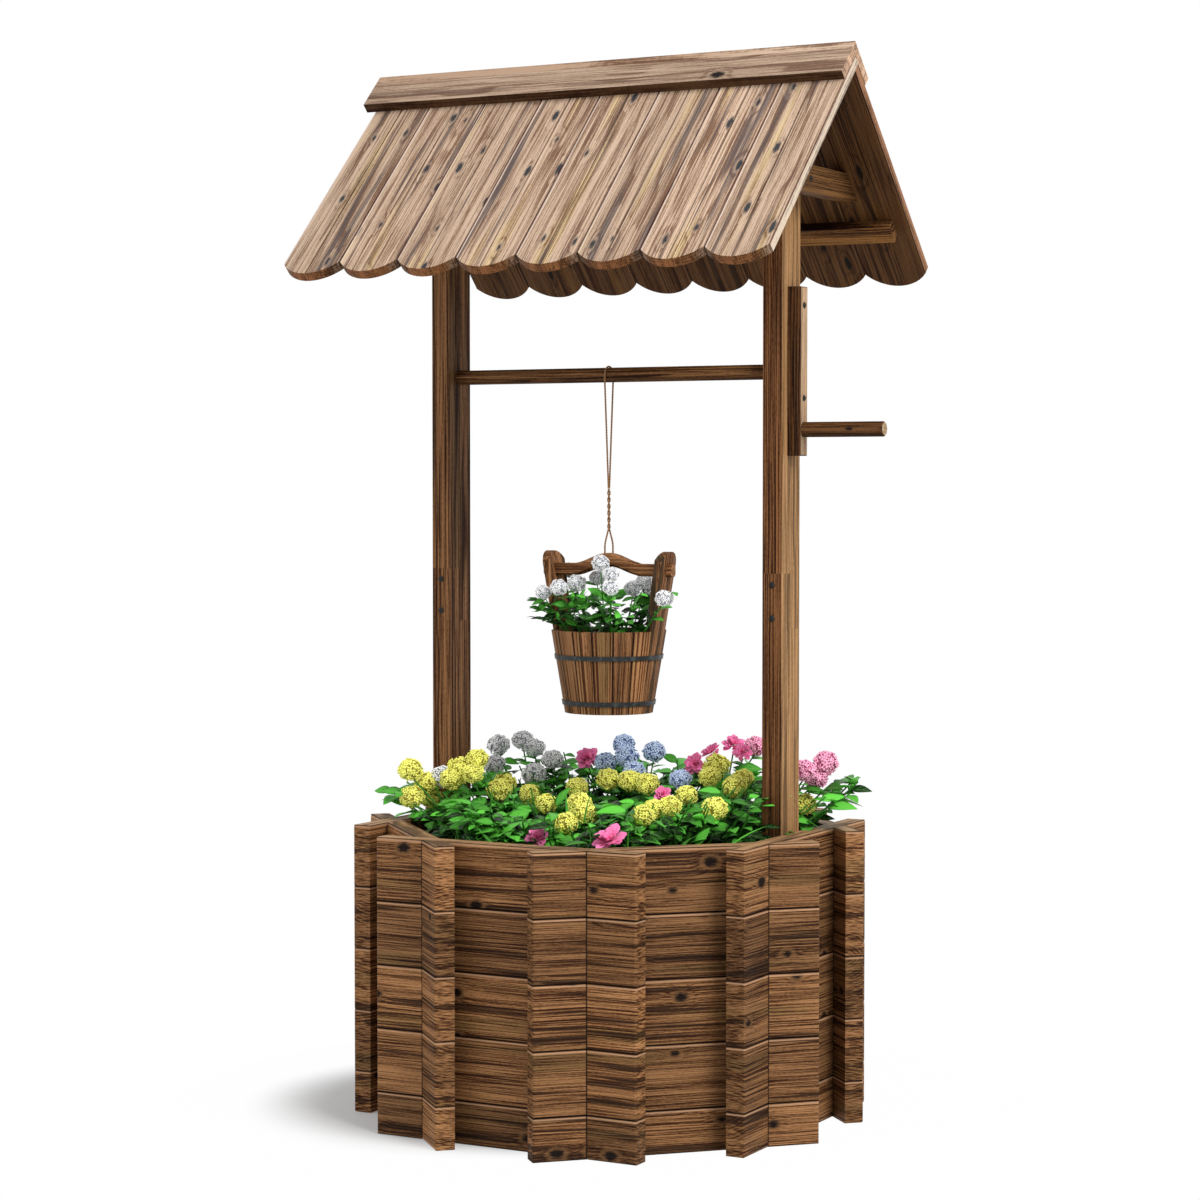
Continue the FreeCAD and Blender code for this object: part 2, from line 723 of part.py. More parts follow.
def build_bucket():
    save("bucket_staves", plain_staves())
    save("bucket_ear_left", [ear_stave(-1)])
    save("bucket_ear_right", [ear_stave(1)])
    save("bucket_floor", [bucket_floor()])
    save("bucket_hoop_lower", [hoop(bucket_bottom_z + hoop_lower_height)])
    save("bucket_hoop_upper", [hoop(bucket_bottom_z + hoop_upper_height)])
    save("bucket_handle_bar", [handle_bar()])


# Cord

def tube(name, edges):
    """Round tube along edges that are tangent to each other, checked against its section times its length."""
    path = Part.Wire(edges)
    start = edges[0].valueAt(edges[0].FirstParameter)
    direction = edges[0].tangentAt(edges[0].FirstParameter)
    ring = Part.Wire(Part.makeCircle(cord_radius, start, direction))
    sweep = Part.BRepOffsetAPI.MakePipeShell(path)
    sweep.add(ring)
    sweep.build()
    sweep.makeSolid()
    solid = sweep.shape()
    expected = math.pi * cord_radius ** 2 * path.Length
    print(name, "length %.1f mm, volume / (section x length) %.4f" % (path.Length, solid.Volume / expected))
    return solid


def cord_hanger():
    """Two strands that leave the twist, spread, and pass over the rod as one loop."""
    bend = rod_diameter / 2.0 + cord_clearance + cord_radius
    start_z = twist_top + cord_joint_gap / 2.0
    away = math.hypot(pair_half, rod_height - start_z)
    towards_start = math.atan2(start_z - rod_height, -pair_half)
    contact = towards_start - math.acos(bend / away)
    front = vec(hang_x, bend * math.cos(contact), rod_height + bend * math.sin(contact))
    rear = vec(hang_x, -front.y, front.z)
    edges = [Part.LineSegment(vec(hang_x, -pair_half, start_z), front).toShape(),
             Part.Arc(front, vec(hang_x, 0, rod_height + bend), rear).toShape(),
             Part.LineSegment(rear, vec(hang_x, pair_half, start_z)).toShape()]
    print("cord_hanger bend radius %.2f mm" % bend)
    return tube("cord_hanger", edges)


def cord_twist():
    """The two strands where they run together."""
    low = twist_bottom + cord_joint_gap / 2.0
    high = twist_top - cord_joint_gap / 2.0
    strands = []
    for sign in (-1, 1):
        y = sign * pair_half
        run = Part.LineSegment(vec(hang_x, y, low), vec(hang_x, y, high)).toShape()
        strands.append(tube("cord_twist strand", [run]))
    return strands


def cord_eye():
    """Loop that leaves the twist, spreads, and passes under the handle bar."""
    bar_reach = max(math.hypot(bar_depth / 2.0, bar_middle_height / 2.0 - bar_bevel),
                    math.hypot(bar_depth / 2.0 - bar_bevel, bar_middle_height / 2.0))
    bend = bar_reach + cord_clearance + cord_radius
    top = twist_bottom - cord_joint_gap / 2.0
    shoulder = top - eye_shoulder_drop
    first_run = math.hypot(bend - pair_half, eye_shoulder_drop)
    second_run = shoulder - bar_middle_z
    turn = math.atan2(bend - pair_half, eye_shoulder_drop)
    tangent = eye_shoulder_share * min(first_run, second_run)
    print("cord_eye radii %.2f and %.2f mm" % (bend, tangent / math.tan(turn / 2.0)))
    edges = []
    half_routes = []
    for sign in (-1, 1):
        start = vec(hang_x, sign * pair_half, top)
        corner = vec(hang_x, sign * bend, shoulder)
        before = corner + (start - corner).normalize() * tangent
        after = corner + vec(0, 0, -tangent)
        mean = (before + after) * 0.5
        radius = tangent / math.tan(turn / 2.0)
        centre = corner + (mean - corner).normalize() * math.hypot(radius, tangent)
        middle = centre + (corner - centre).normalize() * radius
        low = vec(hang_x, sign * bend, bar_middle_z)
        half_routes.append((start, before, middle, after, low))
    start, before, middle, after, low = half_routes[0]
    edges.append(Part.LineSegment(start, before).toShape())
    edges.append(Part.Arc(before, middle, after).toShape())
    edges.append(Part.LineSegment(after, low).toShape())
    far_start, far_before, far_middle, far_after, far_low = half_routes[1]
    edges.append(Part.Arc(low, vec(hang_x, 0, bar_middle_z - bend), far_low).toShape())
    edges.append(Part.LineSegment(far_low, far_after).toShape())
    edges.append(Part.Arc(far_after, far_middle, far_before).toShape())
    edges.append(Part.LineSegment(far_before, far_start).toShape())
    return tube("cord_eye", edges)


def build_cord():
    save("cord_hanger", [cord_hanger()])
    save("cord_twist", cord_twist())
    save("cord_eye", [cord_eye()])


def main():
    os.makedirs("parts", exist_ok=True)
    inner_face = post_outer_x - post_width
    post_screws = []
    post_holes = []
    for direction, sign in (("+X", 1), ("-X", -1)):
        places = [(sign * inner_face, 0, z) for z in post_screw_heights]
        screws, holes = screws_at(places, post_screw_length, direction)
        post_screws = post_screws + screws
        post_holes.append(holes)
    post_holes = Part.makeCompound(post_holes)
    save("post_screws", post_screws)
    build_tub(post_holes)
    build_floor()
    build_planting()
    build_frame(post_holes)
    build_roof()
    build_bucket()
    build_cord()


main()
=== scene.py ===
import math

import bpy
import numpy as np
from bpy.props import FloatProperty, FloatVectorProperty, IntProperty, PointerProperty
from mathutils import Matrix, Vector


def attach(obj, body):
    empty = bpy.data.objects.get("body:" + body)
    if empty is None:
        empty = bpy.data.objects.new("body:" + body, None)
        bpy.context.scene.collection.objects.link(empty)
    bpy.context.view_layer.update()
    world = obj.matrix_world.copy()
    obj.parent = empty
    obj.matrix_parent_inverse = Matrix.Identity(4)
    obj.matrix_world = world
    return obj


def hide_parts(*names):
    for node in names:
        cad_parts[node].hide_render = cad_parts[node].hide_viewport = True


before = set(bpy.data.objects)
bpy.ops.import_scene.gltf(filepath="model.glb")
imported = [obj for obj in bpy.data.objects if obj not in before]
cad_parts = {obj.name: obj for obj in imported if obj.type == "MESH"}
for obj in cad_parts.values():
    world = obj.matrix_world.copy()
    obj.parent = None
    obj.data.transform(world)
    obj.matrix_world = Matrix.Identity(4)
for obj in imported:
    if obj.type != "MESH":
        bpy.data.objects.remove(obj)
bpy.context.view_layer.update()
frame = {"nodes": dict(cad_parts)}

bl_info = {
    "name": "Wishing Well Planter",
    "version": (1, 0, 0),
    "blender": (4, 5, 0),
    "location": "View3D > Sidebar > Wishing Well",
    "description": "Finishes, twine, planting and studio for a wooden wishing well planter",
    "category": "Object",
}

MM = 0.001
TAU = 2 * math.pi
NODES = frame["nodes"]
HANG_X = -3.0 * MM             # the bucket's axis, along the rod
HANG = np.array([HANG_X, 0.0, 0.0])


# Colour and mesh tools

def linear(hex_colour):
    """Linear RGBA of an sRGB hex value: the sRGB curve undone channel by channel."""
    channels = np.array([int(hex_colour[i:i + 2], 16) for i in (1, 3, 5)]) / 255.0
    curved = np.where(channels <= 0.04045, channels / 12.92, ((channels + 0.055) / 1.055) ** 2.4)
    return tuple(float(c) for c in curved) + (1.0,)


def scaled_colour(colour, shares=(1, 1, 1)):
    """Linear colour times one share for each channel, kept below 0.9."""
    return tuple(min(0.9, c * s) for c, s in zip(colour[:3], shares)) + (1.0,)


def new_piece(name, vertices, faces, material, body, smooth=False, attributes=()):
    """Mesh object from an array of points and an array of faces, riding on a body of the frame."""
    mesh = bpy.data.meshes.new(name)
    mesh.from_pydata(np.asarray(vertices).tolist(), [], np.asarray(faces).tolist())
    mesh.polygons.foreach_set("use_smooth", np.full(len(mesh.polygons), smooth))
    for attribute, values in attributes:
        layer = mesh.attributes.new(attribute, "FLOAT_VECTOR", "POINT")
        layer.data.foreach_set("vector", np.asarray(values, dtype=np.float32).ravel())
    mesh.materials.append(material)
    mesh.update()
    piece = bpy.data.objects.new(name, mesh)
    bpy.context.scene.collection.objects.link(piece)
    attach(piece, body)
    return piece


def unit(vectors):
    """Vectors divided by their own lengths."""
    return vectors / np.linalg.norm(vectors, axis=-1, keepdims=True)


def angles(count):
    """Angles of points spread evenly round a circle."""
    return np.linspace(0, TAU, count, endpoint=False)


def copies(shape, faces, places, forward, upward, scales):
    """Many copies of one small shape.

    Each copy's X axis points forward and its Z axis as nearly upward as that allows: X = forward, Y = upward x X,
    Z = X x Y. A point p of the shape goes to place + scale (X px + Y py + Z pz).
    """
    x = unit(forward)
    y = unit(np.cross(upward, x))
    z = np.cross(x, y)
    axes = np.stack([x, y, z], axis=1) * np.reshape(scales, (-1, 1, 1))
    points = np.einsum("vk,nkc->nvc", shape, axes) + places[:, None, :]
    numbered = faces[None, :, :] + (np.arange(len(places)) * len(shape))[:, None, None]
    return points.reshape(-1, 3), numbered.reshape(-1, faces.shape[1])


def lathe_faces(rows, columns):
    """Triangles of a closed skin: a pole, rows of columns points round an axis, and a second pole."""
    column = np.arange(columns)
    following = (column + 1) % columns
    first = 1 + column
    last = 1 + (rows - 1) * columns + column
    faces = [np.stack([np.zeros(columns, int), first, 1 + following], axis=1)]
    for row in range(rows - 1):
        a = 1 + row * columns + column
        b = 1 + row * columns + following
        faces.append(np.stack([a, a + columns, b + columns], axis=1))
        faces.append(np.stack([a, b + columns, b], axis=1))
    end = np.full(columns, 1 + rows * columns)
    faces.append(np.stack([last, end, 1 + (rows - 1) * columns + following], axis=1))
    return np.concatenate(faces)


def skin(sections, start, end):
    """Points and triangles of a closed skin through rows of ring points, with a pole at each end."""
    rows, columns = sections.shape[:2]
    points = np.concatenate([[start], sections.reshape(-1, 3), [end]])
    return points, lathe_faces(rows, columns)


def ball(steps, columns, radius, squash):
    """Ball: rings of radius sin(a) at height cos(a), the height times a squash."""
    a = np.linspace(0, math.pi, steps + 2)[1:-1, None]
    b = angles(columns)
    ring = np.stack([np.sin(a) * np.cos(b), np.sin(a) * np.sin(b), np.cos(a) * squash + 0 * b], axis=-1)
    return skin(ring * radius, [0, 0, radius * squash], [0, 0, -radius * squash])


def add(tree, kind, inputs, **settings):
    """One shader node with its settings; each input takes a value or another node's output."""
    node = tree.nodes.new("ShaderNode" + kind)
    for name, value in settings.items():
        setattr(node, name, value)
    for key, value in inputs.items():
        if isinstance(value, bpy.types.NodeSocket):
            tree.links.new(value, node.inputs[key])
        else:
            node.inputs[key].default_value = value
    return node


def calc(tree, operation, *values, **settings):
    """Number worked out by a Math node."""
    return add(tree, "Math", dict(enumerate(values)), operation=operation, **settings).outputs[0]


def total(tree, base, *terms):
    """Base plus the product of each term's two values, added up one after the other."""
    for value, factor in terms:
        base = calc(tree, "MULTIPLY_ADD", value, factor, base)
    return base


def vector(tree, operation, *values):
    """Vector worked out by a VectorMath node."""
    return add(tree, "VectorMath", dict(enumerate(values)), operation=operation).outputs[0]


def measure(tree, operation, *values):
    """Number worked out from vectors: a length or a dot product."""
    return add(tree, "VectorMath", dict(enumerate(values)), operation=operation).outputs["Value"]


def scaled(tree, colour, factor):
    """Colour times one number."""
    return add(tree, "VectorMath", {0: colour, "Scale": factor}, operation="SCALE").outputs[0]


def span(tree, value, start, end, low=0.0, high=1.0, smooth=False):
    """Value carried from the stretch start to end over to low to high, and kept within it."""
    kind = "SMOOTHSTEP" if smooth else "LINEAR"
    node = add(tree, "MapRange", {0: value, 1: start, 2: end, 3: low, 4: high}, interpolation_type=kind)
    return node.outputs[0]


def blend(tree, share, first, second):
    """Colour mixed from two, with a share of the second."""
    return add(tree, "Mix", {0: share, 6: first, 7: second}, data_type="RGBA").outputs[2]


def split(tree, whole):
    """The three parts of a vector."""
    return add(tree, "SeparateXYZ", {0: whole}).outputs


def join(tree, x, y, z=0.0):
    """Vector of three parts."""
    return add(tree, "CombineXYZ", {0: x, 1: y, 2: z}).outputs[0]


def attribute(tree, name):
    """Vector that the mesh carries at each point under a name."""
    return add(tree, "Attribute", {}, attribute_name=name).outputs["Vector"]


def noise(tree, place, scale, detail):
    """Cloudy noise from 0 to 1."""
    return add(tree, "TexNoise", {"Vector": place, "Scale": scale, "Detail": detail}).outputs[0]


def bumped(tree, height, strength, distance):
    """Normals tilted by a height map."""
    return add(tree, "Bump", {"Height": height, "Strength": strength, "Distance": distance}).outputs[0]


def new_material(name):
    """Empty node material, and its tree."""
    material = bpy.data.materials.new(name)
    material.use_nodes = True
    material.node_tree.nodes.clear()
    return material, material.node_tree


def close_material(tree, shader):
    """Join a shader to the material's output."""
    add(tree, "OutputMaterial", {"Surface": shader.outputs[0]})


def surface(tree, inputs):
    """Principled surface, joined to the material's output."""
    close_material(tree, add(tree, "BsdfPrincipled", inputs))


# Materials

FAR = 10.0                     # puts a place out of every knot's reach
FRONT_DEPTH = 10.0             # metres added to the depth on the bucket's front half
PITH_DEPTH = 15 * MM           # of the rings' middle behind the board's face
STREAKS = 5.0                  # strength of the hairlines
USUAL_DARKNESS = 0.36
USUAL_AT = 0.42                # darkness at which the wood has its usual colour
UPRIGHT = ((0, 0, 1), (0, 1, 0))
LEVEL = ((1, 0, 0), (0, 0, 1))


def board_coordinates(tree, coordinates, along, across):
    """Object coordinates turned so that X runs along the grain, Y across the board and Z into it."""
    x, y = Vector(along), Vector(across)
    turn = Matrix((x, y, x.cross(y))).to_euler("XYZ")
    return add(tree, "Mapping", {"Vector": coordinates, "Rotation": turn}, vector_type="POINT").outputs[0]


def stave_coordinates(tree, coordinates, radius):
    """Coordinates of a coopered wall: height, arc length from the X axis within a half turn, and depth.

    The depth is the distance from the bucket's axis, with 10 m added on the front half, so that the two halves
    differ.
    """
    parts = split(tree, coordinates)
    x = calc(tree, "SUBTRACT", parts[0], HANG_X)
    turn = calc(tree, "ARCTAN2", parts[1], x)
    half_turn = calc(tree, "FLOORED_MODULO", turn, math.pi)
    arc = calc(tree, "MULTIPLY", half_turn, radius)
    away = measure(tree, "LENGTH", join(tree, x, parts[1]))
    front = calc(tree, "LESS_THAN", parts[1], 0.0)
    depth = total(tree, away, (front, FRONT_DEPTH))
    return join(tree, parts[2], arc, depth)


def line_at(tree, place, centre, half):
    """One where a place is within a half width of a line's middle, fading to nothing at 1.6 of it."""
    away = calc(tree, "ABSOLUTE", calc(tree, "SUBTRACT", place, centre))
    return span(tree, away, half * 0.5, half * 1.6, 1.0, 0.0)


def grain_noises(tree, timber, hair, through):
    """Five noises of the timber: hairlines, bands 10 mm wide, bands 30 mm wide, the rings' slow wander, pores.

    Each has its own number of waves for each metre along, across and through the board, and its own detail.
    """
    waves = (((hair[0], hair[1], hair[1] * through), 3.0), ((3, 105, 105 * through), 2.0),
             ((2, 34, 34 * through), 2.0), ((7, 14, 14), 1.0), ((230, 1300, 1300 * through), 1.0))
    return [add(tree, "TexNoise", {"Vector": vector(tree, "MULTIPLY", timber, stretch), "Scale": 1.0,
                                   "Detail": detail, "Roughness": 0.65}).outputs[0]
            for stretch, detail in waves]


def knot_distance(tree, timber, fine, pores, knots, knot_cell):
    """Distance from a knot's middle in a net of cells drawn on the board's face, some of them empty.

    The knots are 6 to 10 mm long, and the noises make their outline ragged.
    """
    place = vector(tree, "MULTIPLY", timber, (1 / knot_cell[0], 1 / knot_cell[1], 0))
    cell = add(tree, "TexVoronoi", {"Vector": place, "Scale": 1.0, "Randomness": 0.9},
               voronoi_dimensions="2D").outputs
    chance = add(tree, "SeparateColor", {0: cell["Color"]}).outputs
    empty = calc(tree, "LESS_THAN", chance[0], 1.0 - knots)
    return total(tree, cell["Distance"], (fine, 0.15), (pores, 0.10), (chance[1], 0.06), (empty, FAR))


def late_wood(tree, parts, depth, across_middle, chance, width, ring, shifts):
    """One at the dark late edge of each growth ring.

    Rings are cylinders round a pith that lies well to one side of the board. Their radius is shifted by each
    shift's noise times its length, and every ring's share of the way out rises and falls steeply near its end.
    """
    lot = add(tree, "SeparateColor", {0: chance["Color"]}).outputs
    sign = calc(tree, "MULTIPLY_ADD", calc(tree, "GREATER_THAN", lot[1], 0.5), 2.0, -1.0)
    reach = span(tree, lot[2], 0.0, 1.0, 0.6 * width, 2.2 * width)
    pith = total(tree, across_middle, (sign, reach))
    radius = measure(tree, "LENGTH", join(tree, calc(tree, "SUBTRACT", parts[1], pith), depth))
    phase = calc(tree, "FRACT", calc(tree, "DIVIDE", total(tree, radius, *shifts), ring))
    rise = span(tree, phase, 0.5, 0.9, smooth=True)
    return calc(tree, "SUBTRACT", rise, span(tree, phase, 0.92, 1.0, smooth=True))


def charred_fir(name, middle, grain=LEVEL, contrast=1.0, width=67 * MM, centre=(0.0, 0.0), boards=None,
                stave_radius=None, seed=0.0, through=1.0, band=((0.5, 0.6, 0.5), 0.6), knots=0.3,
                knot_cell=(90 * MM, 60 * MM), cut_and_lit_faces=(), ring=3.6 * MM, tone_spread=0.2, lines=(),
                under=(0.45, 0.40, 0.35), soot="#2E2216", scorch=0.5, corners=(), hair=(10, 1100),
                knot_colour="#140B08", coarse=1.9):
    """Flame-darkened fir, brushed and oiled.

    Growth rings some 4 mm apart that run almost straight along the grain and crowd together in places, dark
    hairlines about 1 mm wide, bands 10 mm wide, bands 30 mm wide in a second tone, scorched streaks, and small
    black knots that the rings flow round, each in a pale ring that is a painted highlight. Boards differ in tone.
    Faces that look down get painted shade, and painted light instead where the under shares pass 1.

    middle is the face's usual colour; grain gives the directions along the grain and across the board;
    centre is the middle of a single board across the grain and in depth; boards gives (part, pitch, start) of a
    row of boards; through is how fast streaks change through the board; band gives the second tone's shares of
    middle and its strength; scorch is the strength of the soot; lines gives (place across the board, half width,
    colour, share) of joints, grooves and painted edge highlights, and corners the same for places along it on
    both sides of the middle, in use painted shade at the laps; bare gives (direction, colour, share) of
    faces turned one way, pale where sawn after charring, with painted light on faces turned to the light and
    painted shade on faces turned away; hair gives the hairlines' waves for each metre along and across the
    grain; coarse is the strength of the bands between them; under gives the shares of a face that looks down,
    painted shade below 1 and painted light above 1; knots is the share of the cells of size knot_cell that hold
    a knot.
    """
    material, tree = new_material(name)
    source = add(tree, "TexCoord", {}).outputs
    if stave_radius:
        local = stave_coordinates(tree, source["Object"], stave_radius)
    else:
        local = board_coordinates(tree, source["Object"], *grain)
    parts = split(tree, local)

    # Each board of a row has its own number, and from that its own piece of timber
    across_middle, in_board, number = centre[0], parts[1], 0.0
    if boards:
        part, pitch, start = boards
        step = calc(tree, "DIVIDE", calc(tree, "SUBTRACT", parts[part], start), pitch)
        number = calc(tree, "FLOOR", step)
        if part == 1:
            across_middle = calc(tree, "MULTIPLY_ADD", number, pitch, start + pitch / 2)
            in_board = calc(tree, "MULTIPLY", calc(tree, "FRACT", step), pitch)
    side = calc(tree, "GREATER_THAN", parts[2], FRONT_DEPTH / 2)
    key = join(tree, number, seed, side)
    chance = add(tree, "TexWhiteNoise", {"Vector": key}, noise_dimensions="3D").outputs
    timber = vector(tree, "MULTIPLY_ADD", chance["Color"], (3, 3, 3), local)
    fine, middling, broad, warp, pores = grain_noises(tree, timber, hair, through)

    # Knots show on the board's faces and not on its edges
    away = knot_distance(tree, timber, fine, pores, knots, knot_cell)
    if not stave_radius:
        outwards = tuple(Vector(grain[0]).cross(Vector(grain[1])))
        square = measure(tree, "DOT_PRODUCT", source["Normal"], outwards)
        away = total(tree, away, (calc(tree, "LESS_THAN", calc(tree, "ABSOLUTE", square), 0.6), FAR))
    knot = span(tree, away, 0.205, 0.255, 1.0, 0.0)
    halo = span(tree, away, 0.21, 0.45, 1.0, 0.0, smooth=True)
    # glint: a pale ring round each knot, a painted highlight
    glint = span(tree, away, 0.24, 0.3, 0.5, 0.0)

    depth = PITH_DEPTH if stave_radius else calc(tree, "ADD", parts[2], PITH_DEPTH - centre[1])
    late = late_wood(tree, parts, depth, across_middle, chance, width, ring,
                     ((warp, 8 * MM), (broad, 12 * MM), (halo, 4 * MM)))

    # Darkness of the surface, from 0 to 1, where each noise is balanced round its middle
    strength = span(tree, middling, 0.4, 0.6, 0.1, 0.75)
    darkness = total(tree, USUAL_DARKNESS - (STREAKS + coarse + 1.0) / 2, (fine, STREAKS), (middling, coarse),
                     (pores, 1.0), (late, strength))
    dark = calc(tree, "MULTIPLY_ADD", halo, 0.15, darkness, use_clamp=True)

    # Colour: pale to usual to deep, then the second tone, soot, the board's own tone, knots' painted highlight,
    # knots
    deep = scaled_colour(middle, [share ** contrast for share in (0.24, 0.16, 0.13)])
    pale = scaled_colour(middle, [share ** contrast for share in (1.9, 2.1, 2.3)])
    light = blend(tree, span(tree, dark, 0.0, USUAL_AT), pale, scaled_colour(middle))
    wood = blend(tree, span(tree, dark, USUAL_AT, 1.0), light, deep)
    tinted = span(tree, broad, 0.46, 0.36, 0.0, band[1], smooth=True)
    wood = blend(tree, tinted, wood, vector(tree, "MULTIPLY", wood, band[0]))
    burnt = span(tree, middling, 0.58, 0.64, 0.0, scorch, smooth=True)
    wood = blend(tree, burnt, wood, linear(soot))
    tone = span(tree, chance["Value"], 0.0, 1.0, 1.0 - tone_spread, 1.0 + tone_spread)
    wood = scaled(tree, wood, tone)
    wood = blend(tree, glint, wood, pale)
    wood = blend(tree, knot, wood, linear(knot_colour))

    # Joints, grooves and painted edge highlights, then faces that look down, then faces turned one way
    from_middle = calc(tree, "ABSOLUTE", parts[0])
    marks = [(in_board, line) for line in lines] + [(from_middle, line) for line in corners]
    for coordinate, (place, half, colour, share) in marks:
        mark = calc(tree, "MULTIPLY", line_at(tree, coordinate, place, half), share)
        wood = blend(tree, mark, wood, linear(colour))
    # Faces that look down: painted shade where under is below 1, painted light where it passes 1
    down = span(tree, split(tree, source["Normal"])[2], -0.6, -0.25, 1.0, 0.0)
    wood = blend(tree, down, wood, vector(tree, "MULTIPLY", wood, under))
    # bare: pale sawn faces, plus painted light on faces turned to the light and painted shade on faces turned
    # away
    for direction, colour, share in cut_and_lit_faces:
        facing = measure(tree, "DOT_PRODUCT", source["Normal"], direction)
        cut_and_lit_share = span(tree, facing, 0.75, 0.95, 0.0, share)
        lightness = span(tree, dark, 0.0, 1.0, 1.25, 0.35)
        wood = blend(tree, cut_and_lit_share, wood, scaled(tree, linear(colour)[:3], lightness))

    # Brushing leaves the hard late rings proud and the knots slightly sunk
    relief = calc(tree, "SUBTRACT", total(tree, fine, (late, 0.4)), knot)
    surface(tree, {"Base Color": wood, "Roughness": span(tree, dark, 0.0, 1.0, 0.5, 0.75),
                   "Normal": bumped(tree, relief, 0.6, 0.8 * MM), "Specular IOR Level": 0.1})
    return material


def hoop_steel():
    """Flat steel strip, painted dark grey: thin satin paint, rubbed to a lighter grey in small patches."""
    material, tree = new_material("painted strip steel")
    place = add(tree, "TexCoord", {}).outputs["Object"]
    cloud = noise(tree, place, 160.0, 4.0)
    rubbed = span(tree, cloud, 0.5, 0.68)
    paint = blend(tree, rubbed, linear("#202324"), linear("#3F4443"))
    bump = bumped(tree, cloud, 0.2, 0.2 * MM)
    surface(tree, {"Base Color": paint, "Metallic": 0.35, "Roughness": 0.45, "Normal": bump})
    return material


def screw_steel():
    """Black oxide steel screws: dark grey metal with a dull sheen, uneven as the oxide is."""
    material, tree = new_material("black oxide steel")
    place = add(tree, "TexCoord", {}).outputs["Object"]
    cloud = noise(tree, place, 900.0, 2.0)
    oxide = blend(tree, cloud, linear("#1D1D1F"), linear("#3E3D3C"))
    rough = span(tree, cloud, 0.0, 1.0, 0.3, 0.5)
    surface(tree, {"Base Color": oxide, "Metallic": 0.9, "Roughness": rough})
    return material


def jute_twine(colour):
    """Two-ply jute twine: matt golden brown fibres running slantwise along each ply, painted shade between the
    plies.
    """
    material, tree = new_material("jute twine")
    lay = attribute(tree, "lay")
    stretched = vector(tree, "MULTIPLY", lay, (900, 4, 1))
    fibre = noise(tree, stretched, 1.0, 3.0)
    depth = split(tree, lay)[2]
    dark = scaled_colour(colour, (0.3, 0.27, 0.25))
    light = scaled_colour(colour, (1.5, 1.5, 1.45))
    mixed = span(tree, fibre, 0.35, 0.65)
    strand = blend(tree, mixed, scaled_colour(colour), light)
    # Painted shade: darker where the twine dips between its plies
    strand = blend(tree, depth, dark, strand)
    bump = bumped(tree, fibre, 0.5, 0.2 * MM)
    surface(tree, {"Base Color": strand, "Roughness": 0.85, "Normal": bump})
    return material


def potting_soil():
    """Peat soil: dark crumbs 2 to 4 mm across with paler bits of bark."""
    material, tree = new_material("peat potting soil")
    place = add(tree, "TexCoord", {}).outputs["Object"]
    crumb = add(tree, "TexVoronoi", {"Vector": place, "Scale": 330.0}).outputs
    cloud = noise(tree, place, 60.0, 4.0)
    bits = span(tree, cloud, 0.58, 0.7)
    earth = blend(tree, bits, linear("#1F140D"), linear("#5A4330"))
    bump = bumped(tree, crumb["Distance"], 0.8, 2 * MM)
    surface(tree, {"Base Color": earth, "Roughness": 0.95, "Normal": bump})
    return material


def living_leaf(young, old):
    """Hydrangea leaf: waxy green, paler along the ribs, each leaf between young yellow-green and old green."""
    material, tree = new_material("living leaf")
    parts = split(tree, attribute(tree, "leaf"))
    across = calc(tree, "ABSOLUTE", parts[1])
    slanted = calc(tree, "MULTIPLY_ADD", across, -0.35, parts[0])
    pairs = calc(tree, "MULTIPLY", slanted, 7.0)
    phase = calc(tree, "PINGPONG", pairs, 1.0)
    side_rib = span(tree, phase, 0.0, 0.16, 1.0, 0.0)
    mid_rib = span(tree, across, 0.0, 0.12, 1.0, 0.0)
    rib = calc(tree, "MAXIMUM", side_rib, mid_rib)
    green = blend(tree, parts[2], scaled_colour(old), scaled_colour(young))
    paler = calc(tree, "MULTIPLY", rib, 0.25)
    green = blend(tree, paler, green, linear("#9AD272"))
    bump = bumped(tree, rib, 0.4, 0.4 * MM)
    surface(tree, {"Base Color": green, "Roughness": 0.4, "Normal": bump, "Specular IOR Level": 0.12})
    return material


def petal(name, deep, pale):
    """Hydrangea petal: matt and velvety, deep at the eye and, as painted shade, underneath; pale rim; florets a
    little apart.
    """
    material, tree = new_material(name)
    parts = split(tree, attribute(tree, "floret"))
    rim = span(tree, parts[0], 0.0, 0.48)
    colour = blend(tree, rim, linear(deep), linear(pale))
    tone = span(tree, parts[1], 0.0, 1.0, 0.86, 1.1)
    colour = scaled(tree, colour, tone)
    surface(tree, {"Base Color": colour, "Roughness": 0.7, "Specular IOR Level": 0.2, "Sheen Weight": 0.1})
    return material


# Twine

def spline_points(points):
    """Points read from a smooth NURBS curve with the given control points."""
    curve = bpy.data.curves.new("route", "CURVE")
    curve.dimensions = "3D"
    spline = curve.splines.new("NURBS")
    spline.points.add(len(points) - 1)
    spline.points.foreach_set("co", np.column_stack([points, np.ones(len(points))]).ravel())
    spline.order_u = 3
    spline.use_endpoint_u = True
    spline.resolution_u = 24
    holder = bpy.data.objects.new("route", curve)
    mesh = bpy.data.meshes.new_from_object(holder)
    route = np.empty(len(mesh.vertices) * 3)
    mesh.vertices.foreach_get("co", route)
    bpy.data.meshes.remove(mesh)
    bpy.data.objects.remove(holder)
    bpy.data.curves.remove(curve)
    return route.reshape(-1, 3)


def evenly(route, spacing):
    """The same route with points a fixed distance apart, and each point's distance along it."""
    steps = np.linalg.norm(np.diff(route, axis=0), axis=1)
    along = np.concatenate([[0.0], np.cumsum(steps)])
    count = max(3, int(along[-1] / spacing))
    places = np.linspace(0.0, along[-1], count)
    return np.column_stack([np.interp(places, along, route[:, k]) for k in range(3)]), places


